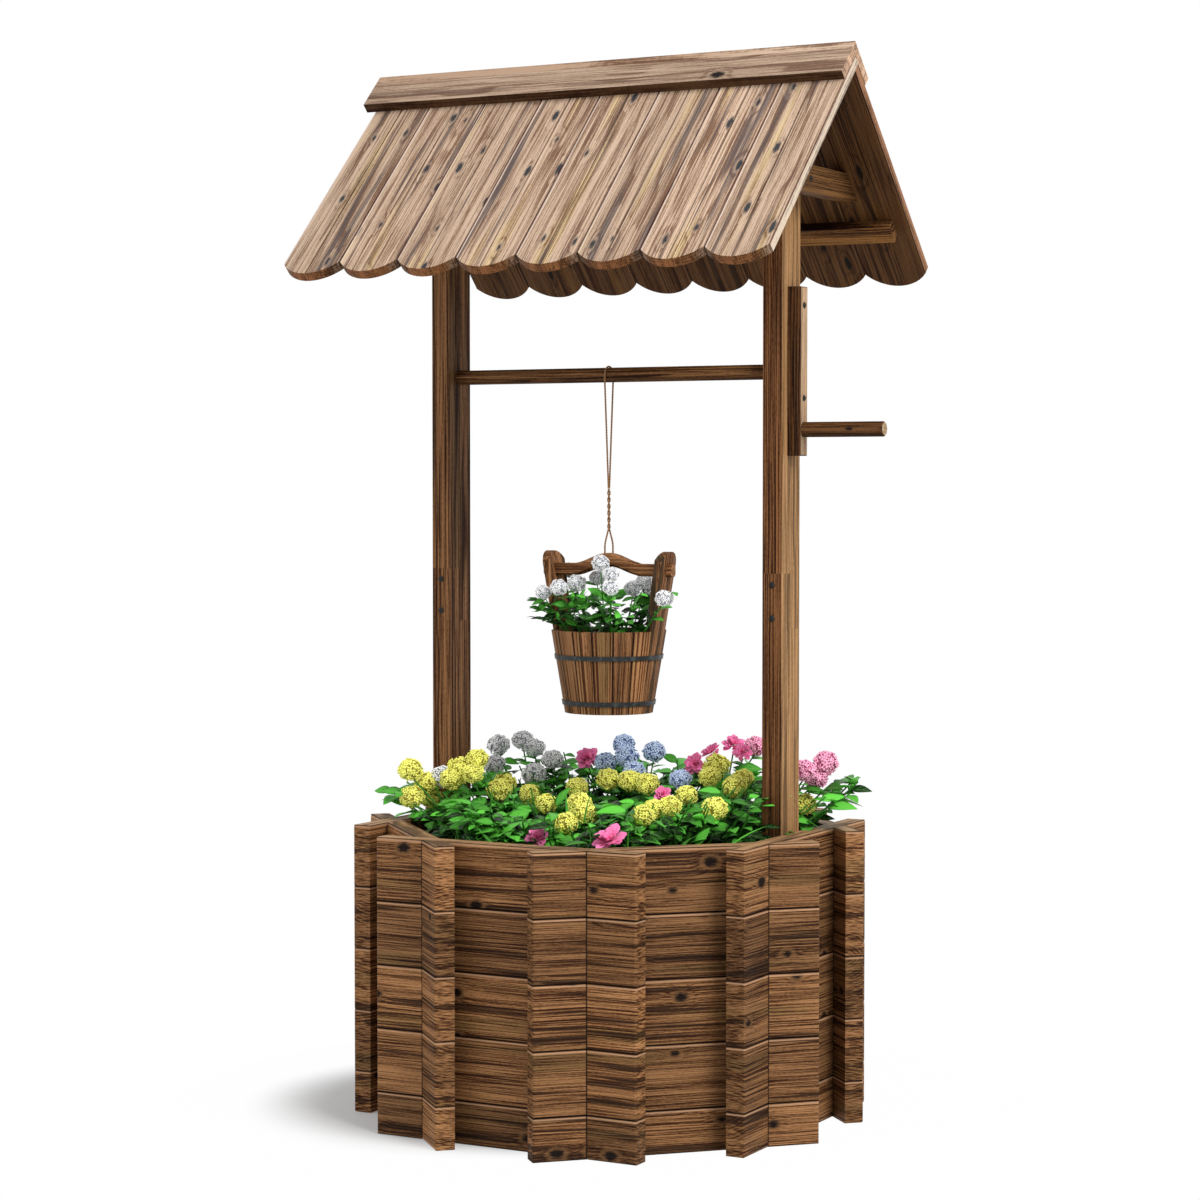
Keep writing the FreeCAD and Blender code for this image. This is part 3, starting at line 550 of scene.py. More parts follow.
def twine(route, radius, lay, helix):
    """Two-ply twine: at distance s along the route the section is r(a) = R (0.78 + 0.22 |cos(a - 2 pi s / lay)|).

    A route in a plane square to X has its sections square to it; a helix round Z has them level, and its plies
    turn the other way. Returns points, triangles and, for each point, the fibre's lay (distance, angle, height of
    the ply).
    """
    centre, s = evenly(route, lay / 9.0)
    if helix:
        hand, normal, side = -1.0, np.array([1.0, 0.0, 0.0]), np.array([0.0, -1.0, 0.0])
    else:
        forward = unit(np.gradient(centre, axis=0))
        across = unit(np.cross(forward, [1.0, 0.0, 0.0]))
        hand, normal, side = 1.0, np.cross(across, forward)[:, None], across[:, None]
    a = angles(12)
    ply = np.abs(np.cos(a - hand * TAU * s[:, None] / lay))
    r = radius * (0.78 + 0.22 * ply)
    ring = centre[:, None] + r[..., None] * (np.cos(a)[:, None] * normal + np.sin(a)[:, None] * side)
    points, faces = skin(ring, centre[0], centre[-1])
    around = np.tile(a, len(s))
    fibre = np.stack([np.repeat(s, len(a)) - hand * around * lay / TAU, around, ply.ravel()], axis=1)
    return points, faces, np.concatenate([[[0, 0, 1]], fibre, [[s[-1], 0, 1]]])


def polygon_round(radius, centre_z, degrees):
    """Corners of an eight-sided outline whose sides touch a circle; its spline stays close to that circle."""
    corner = radius / math.cos(math.pi / 8.0)
    a = np.radians(degrees)
    return np.stack([np.full(len(a), HANG_X), corner * np.cos(a), centre_z + corner * np.sin(a)], axis=1)


# Planting shapes

HEAD_SQUASH = 0.88             # height of a flower head over its width
CORE = 0.86                    # radius of the plain ball in a head, as a share of the head's
SIGHT = (1.504, -2.813, 0.35)  # from the plants to the front right, where the photo is taken from


def floret_shape():
    """Four-petalled floret of radius 1: rim r(a) = 0.55 + 0.45 |sin 2a|^0.6, a low dome above, a funnel below."""
    a = angles(12)
    lobe = np.abs(np.sin(2 * a)) ** 0.6
    rim = 0.55 + 0.45 * lobe
    inner = np.stack([0.5 * np.cos(a), 0.5 * np.sin(a), 0.08 + 0.16 * lobe], axis=1)
    outer = np.stack([rim * np.cos(a), rim * np.sin(a), 0.02 + 0.06 * lobe], axis=1)
    points, faces = skin(np.stack([inner, outer]), [0, 0, -0.1], [0, 0, -0.5])
    # Marks run 0 at the eye, 0.45 round it, the rim's radius at the edge, and 0 at the funnel's tip as painted
    # shade
    return points, faces, np.concatenate([[0.0], np.full(len(a), 0.45), rim, [0.0]])


def leaf_shape(width, droop, fold, fullest=0.8):
    """Leaf of length 1: half width w(t) = width sin(pi t^fullest)^0.9, height -droop t^2 and sides folded up.

    Each cross-section has six points, so that the leaf is a thin closed skin. Returns points, triangles and, for
    each point, its place along and across the leaf.
    """
    t = np.linspace(0.07, 0.95, 6)[:, None]
    across = np.array([-1.0, -0.5, 0.0, 0.5, 1.0, 0.0])[None, :]
    thick = np.array([0.0, 0.35, 0.25, 0.35, 0.0, -0.35])[None, :] * 0.035
    y = width * np.sin(math.pi * t ** fullest) ** 0.9 * across
    z = -droop * t ** 2 + fold * np.abs(y) + thick * np.sin(math.pi * t)
    x = t + 0 * across
    points, faces = skin(np.stack([x, y, z], axis=-1)[:, ::-1], [0, 0, 0.0], [1.0, 0, -droop])
    marks = np.stack([x, across + 0 * t], axis=-1)[:, ::-1].reshape(-1, 2)
    return points, faces, np.concatenate([[[0, 0]], marks, [[1, 0]]])


def ball_directions(count):
    """Directions spread evenly over a ball: heights in equal steps, each turned on by the golden angle."""
    k = np.arange(count)
    z = 1.0 - (2.0 * k + 1.0) / count
    turn = k * math.pi * (3.0 - math.sqrt(5.0))
    flat = np.sqrt(1.0 - z ** 2)
    return np.stack([flat * np.cos(turn), flat * np.sin(turn), z], axis=1)


def flower_heads(name, centres, radius, material, body, random, florets=90):
    """Ball-shaped flower heads: florets on a flattened ball, each facing outwards and spun at random.

    A plain ball just below the florets closes the gaps between them, mostly in the deep tone as painted shade.
    """
    directions = ball_directions(florets)
    heads = len(centres)
    size = radius * random.uniform(0.90, 1.10, (heads, 1, 1))
    wobble = random.normal(0.0, 0.09, (heads, florets, 3))
    outwards = unit(directions[None, :, :] + wobble)
    depth = size * random.uniform(0.86, 1.0, outwards.shape[:2] + (1,))
    places = centres[:, None, :] + outwards * depth * [1.0, 1.0, HEAD_SQUASH]
    facing = unit(outwards + random.normal(0.0, 0.28, outwards.shape)).reshape(-1, 3)
    spin = unit(np.cross(facing, random.normal(0.0, 1.0, facing.shape)))
    shape, faces, shade = floret_shape()
    scales = (size * 0.22 * random.uniform(0.85, 1.2, outwards.shape[:2] + (1,))).ravel()
    points, numbered = copies(shape, faces, places.reshape(-1, 3), spin, facing, scales)
    tone = np.repeat(random.uniform(0, 1, len(facing)), len(shape))
    marks = np.stack([np.tile(shade, len(facing)), tone, 0 * tone], axis=1)

    across, upward = np.tile([[1.0, 0.0, 0.0]], (heads, 1)), np.tile([[0.0, 0.0, 1.0]], (heads, 1))
    cores, core_numbered = copies(*ball(5, 10, CORE, HEAD_SQUASH), centres, across, upward, size.ravel())
    # The ball's marks give it mostly the deep tone: painted shade between the florets
    marks = np.concatenate([marks, np.tile([0.12, 0.2, 0.0], (len(cores), 1))])
    numbered = np.concatenate([numbered, core_numbered + len(points)])
    new_piece(name, np.concatenate([points, cores]), numbered, material, body,
              attributes=[("floret", marks)])


def open_flowers(name, centres, facing, radii, material, body, random):
    """Open flowers: four rings of nine petals, fullest near their ends, each ring shorter and more upright."""
    shape, faces, marks = leaf_shape(0.30, -0.10, 0.35, 2.0)
    rings, petals = 4, 9
    ring, place = np.divmod(np.arange(rings * petals), petals)
    turn = (place * 2 + ring) * math.pi / petals
    axis = unit(facing)
    side = unit(np.cross(axis, [0.13, 0.31, 0.9]))
    other = np.cross(axis, side)
    outwards = np.cos(turn)[None, :, None] * side[:, None, :] + np.sin(turn)[None, :, None] * other[:, None, :]
    rise = 0.05 + 0.38 * ring
    forward = outwards + rise[None, :, None] * axis[:, None, :] + random.normal(0, 0.18, outwards.shape)
    upward = (axis[:, None, :] - 0.6 * outwards).reshape(-1, 3)
    places = np.repeat(centres, len(ring), axis=0)
    scales = (radii[:, None] * (1.0 - 0.13 * ring)).ravel() * random.uniform(0.85, 1.15, len(places))
    points, numbered = copies(shape, faces, places, forward.reshape(-1, 3), upward, scales)
    shade = np.tile(marks[:, 0] * (0.75 + 0.25 * np.abs(marks[:, 1])), len(places))
    tone = np.repeat(random.uniform(0, 1, len(places)), len(shape))
    new_piece(name, points, numbered, material, body, smooth=True,
              attributes=[("floret", np.stack([shade, tone, 0 * tone], axis=1))])


def in_front(places, forward, lengths, heads, radius):
    """True for leaves that would hide a head from the front right.

    Such a leaf is nearer than the head, and its foot, middle or tip is less than a head's radius from the line of
    sight through the head's middle.
    """
    sight = unit(np.array(SIGHT))
    hides = np.zeros(len(places), bool)
    for share in (0.1, 0.55, 1.0):
        points = places + unit(forward) * (lengths * share)[:, None]
        gap = points[:, None, :] - heads[None, :, :]
        nearer = gap @ sight
        beside = np.linalg.norm(gap - nearer[..., None] * sight, axis=-1)
        hides |= ((nearer > -radius) & (beside < radius)).any(axis=1)
    return hides


def leaves(name, places, forward, upward, lengths, shape, material, body, random, brightness, heads, radius):
    """Many leaves of one form, none of them in front of a flower head.

    The brightness from 0, old, to 1, young, is spread a little at random; low values are painted shade deep in
    the foliage.
    """
    kept = ~in_front(places, forward, lengths, heads, radius)
    tone = (brightness + np.zeros(len(places)))[kept]
    tone = np.clip(tone + random.normal(0.0, 0.32, len(tone)), 0.0, 1.0)
    points, faces, marks = shape
    leaf = np.column_stack([np.tile(marks, (len(tone), 1)), np.repeat(tone, len(points))])
    points, numbered = copies(points, faces, places[kept], forward[kept], upward[kept], lengths[kept])
    return new_piece(name, points, numbered, material, body, smooth=True, attributes=[("leaf", leaf)])


def up_stems(feet, tops, bend, shares):
    """Places at shares t of the way up each stem: foot + (top - foot) t, pushed aside by bend sin(pi t)."""
    t = shares[None, :, None]
    return feet[:, None, :] + (tops - feet)[:, None, :] * t + bend[:, None, :] * np.sin(math.pi * t)


def stems(name, feet, tops, radius, bend, material, body):
    """Stems: six-sided sections up each stem's middle line, tapering by a third."""
    t = np.linspace(0.0, 1.0, 7)
    a = angles(6)[:, None]
    centre = up_stems(feet, tops, bend, t)
    forward = unit(np.gradient(centre, axis=1))
    side = unit(np.cross(forward, [0.0, 1.0, 0.12]))[:, :, None, :]
    other = np.cross(forward[:, :, None, :], side)
    thickness = radius * (1.0 - 0.33 * t)[None, :, None, None]
    ring = centre[:, :, None, :] + thickness * (np.cos(a) * side + np.sin(a) * other)
    points = np.concatenate([centre[:, :1], ring.reshape(len(feet), -1, 3), centre[:, -1:]], axis=1)
    numbered = lathe_faces(len(t), len(a))[None] + (np.arange(len(feet)) * points.shape[1])[:, None, None]
    marks = np.tile([0.5, 0.5, 0.25], (len(feet) * points.shape[1], 1))
    new_piece(name, points.reshape(-1, 3), numbered.reshape(-1, 3), material, body, smooth=True,
              attributes=[("leaf", marks)])


def scatter(random, count, radius, least=0.0):
    """Angles and distances that cover a disc evenly at random, from a least share of its area outwards."""
    a = random.uniform(0, TAU, count)
    return a, radius * np.sqrt(random.uniform(least, 1.0, count))


def disc_points(a, reach, height):
    """Points at angles and distances round the Z axis, at their heights."""
    return np.stack([reach * np.cos(a), reach * np.sin(a), height], axis=1)


def flat_unit(points):
    """Directions away from the Z axis, level with the ground."""
    return unit(points * [1, 1, 0] + [1e-6, 0, 0])


def soil_mound(name, radius, level, rise, depth, material, body, random):
    """Heaped soil round the bucket's axis, flat below.

    The top's height is level + rise (1 - q^2) at a share q of the radius, with small waves.
    """
    a = angles(40)
    q = np.linspace(0.0, 1.0, 11)[1:, None]
    height = level + rise * (1 - q ** 2) + 0 * a
    top = np.stack([HANG_X + q * radius * np.cos(a), q * radius * np.sin(a), height], axis=-1)
    waves = random.normal(0.0, 1.5 * MM, top.shape[:2])
    top[..., 2] += waves * (q < 0.99)
    bottom = top[-1:].copy()
    bottom[..., 2] = level - depth
    points, faces = skin(np.concatenate([top, bottom]), HANG + [0, 0, level + rise],
                         HANG + [0, 0, level - depth])
    new_piece(name, points, faces, material, body, smooth=True)


# Settings

def colour_setting(name, description, hex_colour):
    """Colour with a default given as a hex value."""
    return FloatVectorProperty(name=name, description=description, subtype="COLOR", min=0, max=1,
                               default=linear(hex_colour)[:3])


def length_setting(name, description, millimetres):
    """Length with a default given in millimetres."""
    return FloatProperty(name=name, description=description, default=millimetres * MM, unit="LENGTH")


class TimberSettings(bpy.types.PropertyGroup):
    """Colours of the timber."""
    tub: colour_setting("Tub boards", "Usual colour of the tub's boards", "#6A472A")
    roof: colour_setting("Roof boards", "Usual colour of the roof's boards", "#A38973")
    frame: colour_setting("Posts and frame", "Usual colour of posts, ties and rod", "#5E3D23")
    bucket: colour_setting("Bucket", "Usual colour of the bucket's staves", "#7D5535")
    contrast: FloatProperty(name="Contrast", description="Strength of the light and dark grain", default=1.0,
                            min=0.2, max=2.0, subtype="FACTOR")


class TwineSettings(bpy.types.PropertyGroup):
    """Sizes and colour of the twine."""
    diameter: length_setting("Diameter", "Twine's diameter", 2.0)
    lay: length_setting("Lay", "Length of one turn of the two plies", 6.0)
    turns: IntProperty(name="Turns", description="Turns of the two strands round each other", default=3,
                       min=1)
    colour: colour_setting("Colour", "Colour of the jute", "#8A643F")


class PlantingSettings(bpy.types.PropertyGroup):
    """Sizes and colours of the plants."""
    head_radius: length_setting("Tub flower heads", "Radius of a flower head in the tub", 13.2)
    small_head_radius: length_setting("Bucket flower heads", "Radius of a head in the bucket", 9.8)
    soil_level: length_setting("Soil level", "Height of the soil at the tub's walls", 290.0)
    young_leaf: colour_setting("Young leaf", "Colour of a young leaf", "#64CE44")
    old_leaf: colour_setting("Old leaf", "Colour of an old leaf", "#032406")
    seed: IntProperty(name="Seed", description="Start of the random draws for the plants", default=7)


class StageSettings(bpy.types.PropertyGroup):
    """Lamps and floor."""
    key: FloatProperty(name="Key lamp", description="Power of the large lamp at the right", default=116.0,
                       unit="POWER")
    fill: FloatProperty(name="Fill lamp", description="Power of the lamp at the front left", default=20.0,
                        unit="POWER")
    sky: FloatProperty(name="Ambient light", description="Strength of the even light from all round",
                       default=0.66)
    lift: FloatProperty(name="Floor lift", description="Share of plain white where the shadow is deepest",
                        default=0.16, min=0.0, max=1.0)


class WishingWellSettings(bpy.types.PropertyGroup):
    """All settings of the wishing well planter."""
    timber: PointerProperty(type=TimberSettings)
    twine: PointerProperty(type=TwineSettings)
    planting: PointerProperty(type=PlantingSettings)
    stage: PointerProperty(type=StageSettings)


def finish_nodes(names, material):
    """Give CAD nodes their finish."""
    for name in names:
        for holder in NODES[name].material_slots:
            holder.material = material


# Stage

CAMERA_AT = (1.50381, -2.81309, 0.68599)
CAMERA_TURN = 28.35            # degrees to the right of the front
CAMERA_DROP = 2.34             # degrees below level
LENS, FILM = 87.98, 36.0       # focal length and sensor width in millimetres
SHADOW_AT = (-0.125, -0.035, 0)
SHADOW_REACH = (0.18, 0.285)   # the shadow shows in full within the first distance and ends at the second
NEARLY_WHITE = 0.985
FLOOR_HALF, FLOOR_DROP = 14.0, 0.0005
KEY = (1.5, (2.4, -1.0, 3.0))  # size and place
FILL = (2.2, (-1.9, -2.8, 1.7))
LAMPS_AIM = Vector((0, 0, 0.55))


class WELL_OT_stage(bpy.types.Operator):
    """Set up the camera, the pale floor, the lamps and the even light"""
    bl_idname = "well.stage"
    bl_label = "Studio"

    def execute(self, context):
        settings = context.scene.wishing_well.stage
        self.camera(context)
        self.floor(settings)
        self.lamps(settings)
        self.sky(context, settings)
        context.scene.view_settings.view_transform = "Standard"
        return {"FINISHED"}

    def camera(self, context):
        """Camera to the right of the front, aimed a little down."""
        turn, drop = math.radians(CAMERA_TURN), math.radians(CAMERA_DROP)
        forward = Vector((-math.sin(turn) * math.cos(drop), math.cos(turn) * math.cos(drop), -math.sin(drop)))
        lens = bpy.data.cameras.new("view")
        lens.lens = LENS
        lens.sensor_width = FILM
        lens.clip_start = 0.05
        holder = bpy.data.objects.new("view", lens)
        holder.location = CAMERA_AT
        holder.rotation_euler = forward.to_track_quat("-Z", "Y").to_euler()
        context.scene.collection.objects.link(holder)
        context.scene.camera = holder

    def floor(self, settings):
        """White floor. The camera sees the soft shadow in a disc set to the tub's left, and white elsewhere."""
        material, tree = new_material("white studio floor")
        paint = add(tree, "BsdfDiffuse", {"Color": linear("#F2F2F2")}).outputs[0]
        shade = add(tree, "BsdfDiffuse", {"Color": linear("#CFCFCF")}).outputs[0]
        white = add(tree, "Emission", {"Color": (1, 1, 1, 1), "Strength": 1.0}).outputs[0]
        place = add(tree, "TexCoord", {}).outputs["Object"]
        away = measure(tree, "LENGTH", vector(tree, "SUBTRACT", place, SHADOW_AT))
        beside = span(tree, away, *SHADOW_REACH, settings.lift, NEARLY_WHITE, smooth=True)
        far = span(tree, measure(tree, "LENGTH", place), 0.30, 0.50, smooth=True)
        edge = calc(tree, "MAXIMUM", beside, far)
        faded = add(tree, "MixShader", {0: edge, 1: shade, 2: white}).outputs[0]
        close_material(tree, add(tree, "MixShader", {0: self.seen(tree), 1: paint, 2: faded}))
        x, y, z = FLOOR_HALF, FLOOR_HALF, -FLOOR_DROP
        mesh = bpy.data.meshes.new("studio_floor")
        mesh.from_pydata([(-x, -y, z), (x, -y, z), (x, y, z), (-x, y, z)], [], [(0, 1, 2, 3)])
        mesh.materials.append(material)
        ground = bpy.data.objects.new("studio_floor", mesh)
        bpy.context.scene.collection.objects.link(ground)

    def seen(self, tree):
        """One for rays from the camera, from gloss and through glass, nothing for the rest."""
        path = add(tree, "LightPath", {}).outputs
        seen = calc(tree, "MAXIMUM", path["Is Camera Ray"], path["Is Glossy Ray"])
        return calc(tree, "MAXIMUM", seen, path["Is Transmission Ray"])

    def lamps(self, settings):
        """Large soft lamps: the key high at the right, a weaker one at the front left."""
        for name, power, (size, place) in (("key", settings.key, KEY), ("fill", settings.fill, FILL)):
            lamp = bpy.data.lights.new(name, "AREA")
            lamp.energy = power
            lamp.size = size
            holder = bpy.data.objects.new(name, lamp)
            holder.location = place
            holder.rotation_euler = (LAMPS_AIM - Vector(place)).to_track_quat("-Z", "Y").to_euler()
            bpy.context.scene.collection.objects.link(holder)

    def sky(self, context, settings):
        """Even white light; rays that the camera, gloss or glass send out see plain white."""
        world = bpy.data.worlds.new("studio")
        world.use_nodes = True
        tree = world.node_tree
        tree.nodes.clear()
        strength = span(tree, self.seen(tree), 0.0, 1.0, settings.sky, 1.0)
        glow = add(tree, "Background", {"Color": (1, 1, 1, 1), "Strength": strength}).outputs[0]
        add(tree, "OutputWorld", {"Surface": glow})
        context.scene.world = world


# Pieces and finishes

ROD_Z = 800.0 * MM
TWIST_TOP, TWIST_FOOT = 677.0 * MM, 633.0 * MM
TWIST_GAP = 0.2 * MM           # between the lengths of twine that turn on each other
BAR_Z = 599.75 * MM
LOOP_RADIUS, EYE_RADIUS = 9.35 * MM, 9.3 * MM
STRAND_Y = 1.05 * MM           # of a strand's middle beside its neighbour
MIRROR_Y = [1, -1, 1]


class WELL_OT_twine(bpy.types.Operator):
    """Lay the jute twine that holds the bucket: the loop over the rod, the twisted stretch and the eye"""
    bl_idname = "well.twine"
    bl_label = "Twine"

    def execute(self, context):
        settings = context.scene.wishing_well.twine
        material = jute_twine(settings.colour)
        hanger, eye = spline_points(self.hanger()), spline_points(self.eye())
        self.lay_piece("twine_loop", hanger, settings, material, "cord_upper", "cord_hanger")
        for name, start, node in (("twist_strand_a", 0.0, "cord_twist"), ("twist_strand_b", math.pi, None)):
            route = self.helix(settings, start)
            self.lay_piece(name, route, settings, material, "cord_middle", node, helix=True)
        self.lay_piece("twine_eye", eye, settings, material, "cord_lower", "cord_eye")
        return {"FINISHED"}

    def lay_piece(self, name, route, settings, material, body, node, helix=False):
        """Twine along a route, in place of a CAD node where one is given."""
        points, faces, fibre = twine(route, settings.diameter / 2.0, settings.lay, helix)
        piece = new_piece(name, points, faces, material, body, smooth=True,
                          attributes=[("lay", fibre)])
        if node:
            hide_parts(node)

    def hanger(self):
        """Loop over the rod: straight runs up from the twist, then close round the rod's top."""
        start = np.array([HANG_X, -STRAND_Y, TWIST_TOP + TWIST_GAP])
        over = polygon_round(LOOP_RADIUS, ROD_Z, [176.0, 139.0, 90.0, 41.0, 4.0])
        before = over[0] + (start - over[0]) * 0.08
        return np.concatenate([[start, before], over, [before * MIRROR_Y, start * MIRROR_Y]])

    def helix(self, settings, start):
        """One strand of two, a helix of its own radius R: x = R sin b, y = -R cos b, b growing down the twist."""
        t = np.linspace(0.0, 1.0, 73)
        b = start + TAU * settings.turns * t
        radius = settings.diameter / 2.0 * 1.02
        top, foot = TWIST_TOP - TWIST_GAP, TWIST_FOOT + TWIST_GAP
        return np.column_stack([HANG_X + radius * np.sin(b), -radius * np.cos(b), top + (foot - top) * t])

    def eye(self):
        """Eye round the handle bar: spread below the twist, down both sides and under the bar."""
        under = polygon_round(EYE_RADIUS, BAR_Z, [-157.5, -112.5, -67.5, -22.5])
        high = np.array([[HANG_X, -STRAND_Y, TWIST_FOOT - TWIST_GAP], [HANG_X, -4.6 * MM, 626.0 * MM],
                         [HANG_X, -EYE_RADIUS, 617.0 * MM], [HANG_X, -EYE_RADIUS, 607.5 * MM]])
        return np.concatenate([high, under, high[::-1] * MIRROR_Y])


COURSE = 67 * MM               # height of a wall board
FIRST_COURSE = -21.95 * MM     # a whole course would start here, below the base course's foot
# LAP_SHADE: dark lines where the boards lap at the tub's corners, painted shade
LAP_SHADE = ((97.3 * MM, 0.8 * MM, "#120703", 0.9), (67.6 * MM, 1.2 * MM, "#120703", 0.6))
# SEAMS_AND_HIGHLIGHT: dark seam lines, partly char and partly painted shade, and a painted highlight on each
# board's top arris
SEAMS_AND_HIGHLIGHT = ((0.0, 1.1 * MM, "#180A05", 0.9), (COURSE, 0.9 * MM, "#180A05", 0.9),
         (COURSE - 2.0 * MM, 0.8 * MM, "#BE9472", 0.7))
ROOF_GAP = 0.4 * MM
ROOF_PITCH = (572 * MM - 7 * ROOF_GAP) / 8 + ROOF_GAP
# ROOF_JOINTS_AND_HIGHLIGHT: dark joint and groove lines, and a painted highlight along one edge of each board
ROOF_JOINTS_AND_HIGHLIGHT = ((0.0, 1.1 * MM, "#3A130E", 0.9), (ROOF_PITCH, 1.1 * MM, "#3A130E", 0.9),
               (ROOF_PITCH - 2.4 * MM, 0.7 * MM, "#D8C4B6", 0.7), (ROOF_PITCH / 2, 0.8 * MM, "#2E1D14", 0.75))
STAVE_RADIUS = 59 * MM
STAVE_PITCH = math.radians(151.0 / 7.0) * STAVE_RADIUS
STAVE_START = math.radians(14.5) * STAVE_RADIUS
STAVE_JOINTS = ((0.0, 0.9 * MM, "#1E0A06", 1.0), (STAVE_PITCH, 0.9 * MM, "#1E0A06", 1.0))


class WELL_OT_tub(bpy.types.Operator):
    """Finish the tub's boards, its floor and the screws"""
    bl_idname = "well.tub"
    bl_label = "Tub boards"

    def execute(self, context):
        timber = context.scene.wishing_well.timber
        names = ["front", "front_right", "right", "rear_right", "rear", "rear_left", "left", "front_left"]
        for side, name in enumerate(names):
            turn = math.radians(45.0 * side)
            along = (math.cos(turn), math.sin(turn), 0.0)
            # Wall tops take a paler colour, partly sawn wood and partly painted light from above
            finish_nodes(["wall_" + name], charred_fir(
                "tub fir " + name, timber.tub, grain=(along, (0, 0, 1)), lines=SEAMS_AND_HIGHLIGHT, corners=LAP_SHADE,
                boards=(1, COURSE, FIRST_COURSE), seed=8.1 + side, contrast=timber.contrast * 1.2,
                centre=(0.0, 0.2245), knots=0.85, cut_and_lit_faces=(((0, 0, 1), "#9C7854", 0.9),), tone_spread=0.38,
                through=0.07, coarse=1.5, hair=(8, 1300), scorch=0.72, soot="#24160D"))
        finish_nodes([name for name in NODES if name.startswith("floor_")], charred_fir(
            "tub floor fir", timber.tub, grain=((0, 1, 0), (1, 0, 0)), boards=(1, 51 * MM, 0.0), width=42 * MM,
            seed=41.0, contrast=timber.contrast))
        finish_nodes([name for name in NODES if name.endswith("screws")], screw_steel())
        return {"FINISHED"}


class WELL_OT_frame(bpy.types.Operator):
    """Finish the posts, ties, rod and crank"""
    bl_idname = "well.frame"
    bl_label = "Posts and crank"

    def execute(self, context):
        timber = context.scene.wishing_well.timber
        contrast = timber.contrast * 1.25
        dark, umber, rust, brown, golden = (scaled_colour(timber.frame, shares) for shares in (
            (0.43, 0.39, 0.35), (0.45, 0.41, 0.33), (0.9, 0.8, 0.7), (0.94, 0.92, 0.82), (0.68, 0.68, 0.55)))
        # sunny: painted light on the right posts' right faces
        sunny = (((1, 0, 0), "#9C764E", 0.9),)
        for seed, (name, colour, cut_and_lit_faces) in enumerate((
                ("left_lower", timber.frame, ()), ("left_upper", timber.frame, ()),
                ("right_lower", rust, sunny), ("right_upper", rust, sunny))):
            finish_nodes(["post_" + name], charred_fir(
                "post fir " + name.replace("_", " "), colour, grain=UPRIGHT, width=45 * MM, seed=12.0 + seed,
                knots=0.06, scorch=0.3, ring=4 * MM, coarse=1.4, hair=(6, 1000), cut_and_lit_faces=cut_and_lit_faces, contrast=contrast))
        # The ties' under shares paint a little warm light on their downward faces
        finish_nodes(["gable_tie_left", "gable_tie_right"], charred_fir(
            "tie fir", golden, grain=((0, 1, 0), (0, 0, 1)), width=28 * MM, seed=19.0, knots=0.1,
            centre=(1.0, 0.0), scorch=0.0, band=((0.75, 0.66, 0.56), 0.6), under=(1.1, 1.0, 0.8), through=0.1,
            hair=(8, 1000), contrast=contrast))
        # Painted shade under the rod and handle (under); their right ends are pale end grain
        for seed, (name, colour, knots) in enumerate((("rod", brown, 0.0), ("crank_handle", umber, 0.6))):
            finish_nodes([name], charred_fir(
                name.replace("_", " ") + " fir", colour, centre=(0.8, 0.0), width=16 * MM, seed=23.0 + seed,
                knots=knots, knot_cell=(34 * MM, 16 * MM), scorch=0.4, cut_and_lit_faces=(((1, 0, 0), "#B39876", 0.8),),
                under=(0.6, 0.56, 0.5), contrast=contrast))
        # The arm's right face takes a paler colour: painted light from the right
        finish_nodes(["crank_arm"], charred_fir(
            "crank arm fir", dark, grain=UPRIGHT, width=18 * MM, seed=27.0, knots=0.05, scorch=0.3,
            cut_and_lit_faces=(((1, 0, 0), "#A88A6C", 0.9),), contrast=contrast))
        return {"FINISHED"}


class WELL_OT_roof(bpy.types.Operator):
    """Finish the roof's boards, battens and ridge cap"""
    bl_idname = "well.roof"
    bl_label = "Roof"

    def execute(self, context):
        timber = context.scene.wishing_well.timber
        slope = math.sqrt(0.5)
        eave = (0, -slope, -slope)
        # Gable edges are pale sawn wood, darker on the rear slope; eave ends keep their own colour over under's
        # painted shade
        cut_and_lit_faces = {"front": (((1, 0, 0), "#B5A491", 0.9), (eave, "#7E5130", 0.95), ((-1, 0, 0), "#A88A6E", 0.9)),
                "rear": (((1, 0, 0), "#805A3E", 0.9), ((-1, 0, 0), "#805A3E", 0.9))}
        shaded = scaled_colour(timber.frame, (0.66, 0.66, 0.55))
        for side, name in ((-1, "front"), (1, "rear")):
            down = (0, side * slope, -slope)
            # Roof boards: strong painted shade on faces that look down (under)
            finish_nodes([node for node in NODES if node.startswith("roof_board_" + name)], charred_fir(
                "roof fir " + name, timber.roof, grain=(down, (side * 1.0, 0, 0)), lines=ROOF_JOINTS_AND_HIGHLIGHT,
                boards=(1, ROOF_PITCH, -4 * ROOF_PITCH), width=ROOF_PITCH, seed=31.0 + side, knots=0.7,
                knot_cell=(95 * MM, 36 * MM), contrast=timber.contrast * 0.6, scorch=0.65, soot="#4A4649",
                tone_spread=0.1, band=((1.12, 1.14, 0.86), 0.8), cut_and_lit_faces=cut_and_lit_faces[name], through=0.12,
                knot_colour="#343437", hair=(8, 1000), under=(0.205, 0.122, 0.054)))
            # Cap: pale end grain, the right end paler, and painted shade on faces that look down
            finish_nodes(["ridge_cap_" + name], charred_fir(
                "cap fir " + name, timber.roof, grain=((1, 0, 0), down), under=(0.2, 0.13, 0.08), width=49 * MM,
                centre=(-0.8, 0.0), seed=35.0 + side, contrast=timber.contrast * 0.55, scorch=0.25,
                soot="#5A4A44", knots=0.25, cut_and_lit_faces=(((1, 0, 0), "#B8957A", 0.9), ((-1, 0, 0), "#A07F64", 0.9)),
                band=((0.66, 0.54, 0.46), 0.6), through=0.1))
            # The batten's under shares paint light on its downward face
            finish_nodes(["roof_batten_" + name], charred_fir(
                "batten fir " + name, shaded, grain=((1, 0, 0), down), under=(1.5, 1.4, 1.15), width=22 * MM,
                seed=38.0 + side, contrast=timber.contrast * 1.2, knots=0.1, through=0.1))
        return {"FINISHED"}


